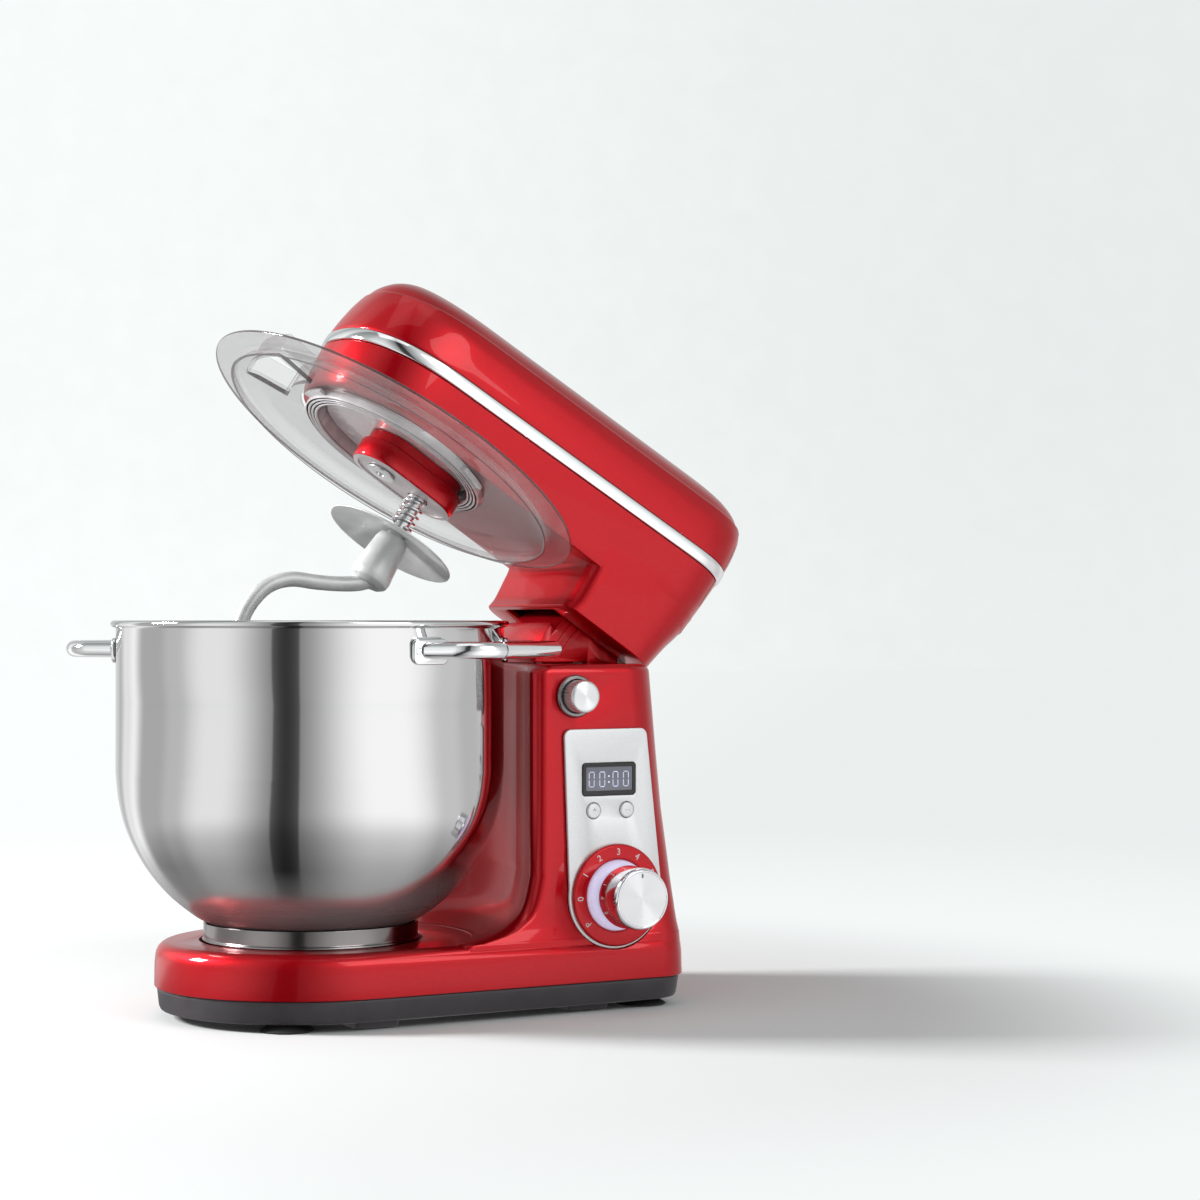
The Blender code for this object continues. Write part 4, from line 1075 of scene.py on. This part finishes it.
def gearbox_ring():
    profile = [(12.7, 26.0), (49.4, 26.0), (50.0, 25.4), (50.0, 5.4)]
    for r in (50.9, 53.1, 55.3):
        profile += [(r - 0.5, 4.4), (r + 0.4, 4.1), (r + 0.9, 4.3), (r + 0.95, 6.2), (r + 1.5, 6.2)]
    profile += [(57.4, 4.3), (58.2, 5.0), (58.2, 10.1), (51.9, 10.2), (51.9, 28.6), (16.0, 28.6)]
    profile += [(16.0, 31.5), (12.7, 31.5)]
    obj = lathe("gearbox_ring_ridged", profile, HEAD, GREY, 144, 0.3)
    # Painted shade: the grooves between the ridges are coloured dark.
    paint(obj, GROOVE_SHADE, lambda r, z, normal: 49.0 < r < 57.4 and 5.2 < z < 10.0)
    for turn in BAYONET:
        cut(obj, prism(sector(57.0, 62.4, turn, 10, 8), 5.6, 7.6, HEAD), operation="UNION")
    keep(obj, "head", "grey", "gearbox_ring")


def splash_guard():
    profile = [
        (59.8, 8.0, 0.4), (92.0, 8.0, 3.0), (103.9, 5.4, 1.5), (103.9, 0.05, 0.5), (105.9, 0.05, 0.5),
        (105.9, 5.0, 0.8), (118.9, 5.05, 0.5), (119.35, 6.0, 0.4), (118.9, 6.95, 0.5), (105.6, 7.0, 2.0),
        (92.6, 10.0, 3.0), (59.8, 10.0, 0.4),
    ]
    obj = lathe("splash_guard_clear", profile, HEAD, CLEAR, 168, 0.5)
    for turn in (0, 120, 240):
        cut(obj, prism(sector(50, 63.6, turn, 12, 10), -5, 20, HEAD))
    cut(obj, prism(sector(70.5, 98.0, CHUTE_TURN, 19, 24), 4.8, 19.9, HEAD), operation="UNION")
    cut(obj, prism(sector(72.1, 96.4, CHUTE_TURN, 17.8, 24), -5, 30, HEAD))
    soften(obj, 0.3, 2, 60)

    # Painted shade: the rim, the underside and the walls of the inner step take the dark edge material.
    def is_edge(r, z, normal):
        return r > 118.95 or z < 0.2 or (abs(normal.z) < 0.3 and 5.4 < z < 8.0 and r < 104.6)

    paint(obj, CLEAR_EDGE_SHADE, is_edge)
    keep(obj, "guard", "clear", "splash_guard")


# ---- planetary drive --------------------------------------------------------------------------


def stadium(r, length):
    """The arm's outline: round about the hub, and round again this far to its rear."""
    return arc(0, length, r, 0, 180, 20) + arc(0, 0, r, 180, 360, 20)


def carrier():
    profile = [(6.5, 12.0), (47.4, 12.0), (48.5, 12.8), (48.5, 15.3), (6.5, 15.3)]
    disc = lathe("carrier_plate", profile, HEAD, GREY, 128, 0.6)
    cut(disc, prism(circle(6.6, 48, 0, PLANET), 0, 30, HEAD))
    keep(disc, "carrier", "grey", "carrier_disc")

    rows = [(-7.55, 17.9, 31), (-7.4, 18.6, 31), (-6.8, 19.2, 31), (-6.0, 19.5, 31), (4.0, 19.6, 31)]
    rows += [(4.9, 19.3, 31), (5.3, 18.7, 31), (5.5, 17.8, 30), (5.9, 17.3, 30), (11.6, 17.2, 30)]
    arm = loft("carrier_arm_shell", [flat(stadium(r, y), z) for z, r, y in rows], HEAD, RED)
    paint(arm, UNDERSIDE, lambda r, z, normal: z < -7.4)
    cut(
        arm,
        prism(stadium(15.6, 31), -9, -7.0, HEAD, UNDERSIDE),
        prism(circle(6.3, 40), -30, 30, HEAD),
        prism(circle(6.6, 40, 0, PLANET), -30, 30, HEAD),
    )
    keep(arm, "carrier", "red", "carrier_arm")

    screw = [(0, -7.4), (2.6, -7.4), (2.9, -8.7), (4.6, -8.75), (6.0, -8.6), (8.6, -8.5)]
    screw += [(8.9, -8.0), (8.8, -7.3), (6.1, -7.2), (5.9, -4.35), (0, -4.3)]
    keep(lathe("hub_screw_turned", screw, HEAD, STEEL, 64, 0.25), "carrier", "steel", "hub_screw")
    shaft = [(0, -4.0), (6.0, -4.0), (6.0, 42.0), (5.2, 42.8), (0, 42.8)]
    keep(lathe("hub_shaft_turned", shaft, HEAD, STEEL, 64, 0.3), "carrier", "steel", "hub_shaft")


def beater():
    shaft = [(0, -34.0), (4.0, -34.0), (4.35, -33.2), (4.35, -9.0), (6.1, -8.6), (6.1, 15.5), (4.0, 16.0)]
    shaft += [(4.0, 24.7), (0, 24.8)]
    keep(lathe("beater_shaft_turned", shaft, BEATER, STEEL, 48, 0.3), "beater", "steel", "beater_shaft")
    low, high = -28.0, -9.4
    spring = coil("shaft_spring_coil", 6.4, 0.9, 4, 28, low, high, BEATER, CHROME, 12)
    keep(spring, "beater", "steel", "shaft_spring")
    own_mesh(spring)


HOOK_PATH = (
    (0, 3.0, -57.0), (0, 1.0, -62.0), (0, -4.0, -69.0), (0, -14.0, -76.5), (0, -27.0, -84.0),
    (0, -40.5, -91.0), (0, -49.5, -100.5), (0, -53.5, -112.0), (0, -53.5, -126.0), (0, -48.5, -139.5),
    (0, -40.0, -150.5), (0, -25.0, -158.0), (0, -8.0, -161.5), (0, 6.0, -161.0),
)


def dough_hook():
    hub = [(0, -38.2), (4.9, -38.2), (4.9, -28.7), (5.7, -28.7), (5.7, -34.4), (8.6, -35.0), (9.9, -38.4)]
    hub += [(10.8, -46.0), (11.6, -56.0), (12.2, -61.0), (11.6, -64.6)]
    hub += [(8.6, -67.0), (4.0, -67.45), (0, -67.5)]
    obj = lathe("dough_hook_cast", hub, BEATER, HOOK_GREY, 72, 0.8)
    radius = [6.5, 5.6, 4.8] + [4.4] * 9 + [4.0, 3.0]
    path = curve_through([(*p, r) for p, r in zip(HOOK_PATH, radius)], 4)
    tip = path[-1]
    path += [(tip[0], tip[1] + 1.2, tip[2] + 0.1, 2.3), (tip[0], tip[1] + 1.7, tip[2] + 0.15, 1.2)]
    bar = swept("bar", [p[:3] for p in path], [p[3] for p in path], BEATER, HOOK_GREY, 24)
    cut(obj, bar, operation="UNION", sharp=60)
    keep(obj, "hook", "hook", "dough_hook")
    disc = [(6.0, -30.5), (6.0, -32.3), (12.0, -33.5), (26.0, -36.6), (38.6, -39.3), (39.9, -39.5)]
    disc += [(40.15, -39.0), (39.8, -38.4), (26.0, -35.0), (12.0, -31.7), (9.0, -30.5)]
    keep(lathe("hook_disc_pressed", disc, BEATER, HOOK_GREY, 112, 0.4), "hook", "hook", "hook_disc")


# ---- CAD nodes that keep their own shape --------------------------------------------------------

KEPT = {
    "tray_screw_1": STEEL, "tray_screw_2": STEEL, "tray_screw_3": STEEL, "hinge_pin": STEEL,
    "speed_control": DARK, "control_board": BOARD, "bowl_seat": DARK, "knob_shaft": STEEL,
    "release_spring": STEEL, "latch_bolt": STEEL, "hub_bearing": BRONZE, "ring_gear": GREY,
    "planet_pinion": BRONZE, "driven_pulley": GREY, "motor_pulley": GREY, "motor_shaft": STEEL,
    "motor_can": STEEL, "drive_belt": RUBBER, "head_chassis": GREY,
}


def dress_cad_nodes():
    for name, material in KEPT.items():
        obj = NODES[name]
        obj.data.materials.clear()
        obj.data.materials.append(material)
        shade(obj)


# ---- stage ------------------------------------------------------------------------------------

LENS = 81.0
SENSOR = 36.0
CAMERA_DISTANCE = 1.564
CAMERA_HEIGHT = 0.2244
CAMERA_AZIMUTH = 66.0  # where the camera stands about the bowl's axis
OFF_AXIS = math.radians(6.1)
PITCH = math.radians(0.47)


def camera():
    data = bpy.data.cameras.new("camera")
    data.lens = LENS
    data.sensor_width = SENSOR
    obj = place("camera", data)
    stand = math.radians(CAMERA_AZIMUTH)
    back = Vector((math.sin(stand), -math.cos(stand), 0))
    obj.location = Vector((0, BOWL_AXIS.y, 0)) + back * CAMERA_DISTANCE + Vector((0, 0, CAMERA_HEIGHT))
    obj.rotation_euler = (math.pi / 2 + PITCH, 0, stand - OFF_AXIS)
    bpy.context.scene.camera = obj


STUDIO_LEVEL = 0.27
DARKEST = 0.04
LOBES = (  # azimuth, half width and soft edge in degrees, and how much brighter or darker
    (110.0, 8.0, 50.0, 1.10),
    (10.0, 4.0, 38.0, 0.86),
    (-40.0, 15.0, 15.0, 0.30),
    (-65.0, 5.0, 14.0, 0.75),
    (172.0, 12.0, 20.0, 0.40),
    (235.0, 30.0, 30.0, 0.50),
    (52.0, 7.0, 1.2, -0.22),
)
OVERHEAD = (0.30, 0.95, 1.0, 0.60)  # the sine of two elevations, and the studio's factor at each
UNDERFOOT = (0.12, 0.40, 0.45, 1.0)  # metres from the bowl's axis, and the floor's factor at each: painted shadow, darkening the floor in reflections near the mixer

BACKDROP = (0.835, 0.870, 0.865)
ACROSS = (0.50, 0.866, 0)  # along the backdrop, from its bright side to its darker one
SIDE_GLOW = (-0.20, 0.20, 1.12, 0.96)  # the sine of two angles across it, and its level at each
HORIZON = 1.03  # the backdrop is a little brighter where it meets the floor
HORIZON_FADE = (-0.02, 0.10, HORIZON, 1.0)  # the sine of two elevations, and its level at each
PLASTER = (0.97, 0.06)  # the wall's lowest level, and what its mottling adds at most
FAR_FLOOR = (0.4, 1.6, 1.14, HORIZON)  # metres from the bowl's axis, and the level at each
FLOOR_FADE = (0.33, 0.62, 0.0, 1.0)  # the same for the backdrop's share of the floor
FLOOR_HALF = 9.0
ROOM_LIGHT = 0.30  # what the room adds to matt surfaces


def studio_level(tree, vector):
    """How bright the studio is in a direction: tall soft boxes and dark gaps round the mixer."""
    split = add(tree, "ShaderNodeSeparateXYZ")
    tree.links.new(vector, split.inputs["Vector"])
    turn = maths(tree, "ARCTAN2", split.outputs["X"], maths(tree, "MULTIPLY", split.outputs["Y"], -1.0))
    level = STUDIO_LEVEL
    for azimuth, half, soft, change in LOBES:
        away = maths(tree, "SUBTRACT", turn, math.radians(azimuth))
        away = maths(tree, "ABSOLUTE", maths(tree, "WRAP", away, math.pi, -math.pi))
        lobe = ease(tree, away, math.radians(half), math.radians(half + soft), change, 0.0)
        level = maths(tree, "ADD", level, lobe)
    level = maths(tree, "MAXIMUM", level, DARKEST)
    return maths(tree, "MULTIPLY", level, ease(tree, split.outputs["Z"], *OVERHEAD))


def side_glow(tree, vector):
    """The backdrop is brighter toward one side."""
    unit = add(tree, "ShaderNodeVectorMath", operation="NORMALIZE")
    tree.links.new(vector, unit.inputs[0])
    across = add(tree, "ShaderNodeVectorMath", operation="DOT_PRODUCT")
    across.inputs[1].default_value = ACROSS
    tree.links.new(unit.outputs["Vector"], across.inputs[0])
    return ease(tree, across.outputs["Value"], *SIDE_GLOW)


def floor():
    """A pale floor that fades into the backdrop, and that mirrors the studio in reflections."""
    made = Finish("studio_floor", roughness=0.9, specular_ior_level=0.1)
    made.tones(made.noise(1.3), (0.88, 0.895, 0.895), (0.91, 0.92, 0.92))
    made.relief(made.noise(260, detail=5), 0.10, 0.001)
    tree = made.tree
    about = add(tree, "ShaderNodeMapping")
    about.inputs["Location"].default_value = (0, -BOWL_AXIS.y, 0)
    tree.links.new(made.place, about.inputs["Vector"])
    reach = add(tree, "ShaderNodeVectorMath", operation="LENGTH")
    tree.links.new(about.outputs["Vector"], reach.inputs[0])
    distance = reach.outputs["Value"]

    def glow(level):
        shader = add(tree, "ShaderNodeEmission")
        tree.links.new(level, shader.inputs["Strength"])
        return shader

    def mix(share, first, second):
        shader = add(tree, "ShaderNodeMixShader")
        for number, output in enumerate((share, first, second)):
            tree.links.new(output, shader.inputs[number])
        return shader.outputs["Shader"]

    side = side_glow(tree, about.outputs["Vector"])
    far = glow(maths(tree, "MULTIPLY", ease(tree, distance, *FAR_FLOOR), side))
    far.inputs["Color"].default_value = (*BACKDROP, 1)
    level = studio_level(tree, about.outputs["Vector"])
    # Painted shadow: seen in reflections, the floor is darker near the bowl's axis.
    mirrored = glow(maths(tree, "MULTIPLY", level, ease(tree, distance, *UNDERFOOT)))
    faded = mix(ease(tree, distance, *FLOOR_FADE), made.shader.outputs["BSDF"], far.outputs["Emission"])
    glossy = add(tree, "ShaderNodeLightPath").outputs["Is Glossy Ray"]
    seen = mix(glossy, faded, mirrored.outputs["Emission"])
    tree.links.new(seen, tree.nodes["Material Output"].inputs["Surface"])
    mesh = bpy.data.meshes.new("floor")
    corners = [(x * FLOOR_HALF, y * FLOOR_HALF, 0) for x, y in ((-1, -1), (1, -1), (1, 1), (-1, 1))]
    mesh.from_pydata(corners, [], [(0, 1, 2, 3)])
    mesh.materials.append(made.material)
    place("floor", mesh)


def studio():
    """The pale backdrop that the camera sees, and the studio that only reflections show."""
    world = bpy.data.worlds.new("studio")
    bpy.context.scene.world = world
    world.use_nodes = True
    tree = world.node_tree
    toward = add(tree, "ShaderNodeTexCoord").outputs["Generated"]
    plaster = add(tree, "ShaderNodeTexNoise")
    plaster.inputs["Scale"].default_value = 90
    plaster.inputs["Detail"].default_value = 6
    tree.links.new(toward, plaster.inputs["Vector"])
    lowest, mottling = PLASTER
    wall = maths(tree, "MULTIPLY_ADD", plaster.outputs["Fac"], mottling, lowest)
    split = add(tree, "ShaderNodeSeparateXYZ")
    tree.links.new(toward, split.inputs["Vector"])
    wall = maths(tree, "MULTIPLY", wall, ease(tree, split.outputs["Z"], *HORIZON_FADE))
    wall = maths(tree, "MULTIPLY", wall, side_glow(tree, toward))
    path = add(tree, "ShaderNodeLightPath")
    glossy = path.outputs["Is Glossy Ray"]
    seen = maths(tree, "MULTIPLY", wall, path.outputs["Is Camera Ray"])
    seen = maths(tree, "MAXIMUM", seen, path.outputs["Is Transmission Ray"])
    mirrored = maths(tree, "MULTIPLY", studio_level(tree, toward), glossy)
    unseen = maths(tree, "SUBTRACT", maths(tree, "SUBTRACT", 1.0, glossy), seen)
    room = maths(tree, "MAXIMUM", maths(tree, "MULTIPLY", unseen, ROOM_LIGHT), 0.0)
    background = tree.nodes["Background"]
    total = maths(tree, "ADD", maths(tree, "ADD", mirrored, room), seen)
    tree.links.new(total, background.inputs["Strength"])
    background.inputs["Color"].default_value = (*BACKDROP, 1)


LIGHTS = (  # name, azimuth, elevation, distance and width in metres, and watts
    ("key", 331, 24, 2.2, 0.5, 66),
    ("side", 108, 30, 2.4, 1.3, 14),
    ("top", 40, 82, 1.9, 1.2, 3),
)
LIT_HEIGHT = 0.2  # where the lights look, above the middle of the table


def lights():
    for name, azimuth, elevation, distance, width, watts in LIGHTS:
        a, e = math.radians(azimuth), math.radians(elevation)
        back = Vector((math.sin(a) * math.cos(e), -math.cos(a) * math.cos(e), math.sin(e)))
        data = bpy.data.lights.new(name, "AREA")
        data.shape = "RECTANGLE"
        data.size = data.size_y = width
        data.energy = watts
        obj = place(name, data)
        obj.location = Vector((0, 0, LIT_HEIGHT)) + back * distance
        obj.rotation_euler = back.to_track_quat("Z", "Y").to_euler()


stand_housing()
base_tray()
suction_feet()
cord_gland()
hinge_tower()
control_panel()
display()
timer_buttons()
dial()
speed_knob()
release_button()
bowl()
bowl_foot()
bowl_handle("right", 36.5)
bowl_handle("left", 216.5)
top_cover()
lower_housing()
trim_band()
gearbox_ring()
splash_guard()
carrier()
beater()
dough_hook()
dress_cad_nodes()
camera()
floor()
studio()
lights()
bpy.context.scene.view_settings.view_transform = "Standard"
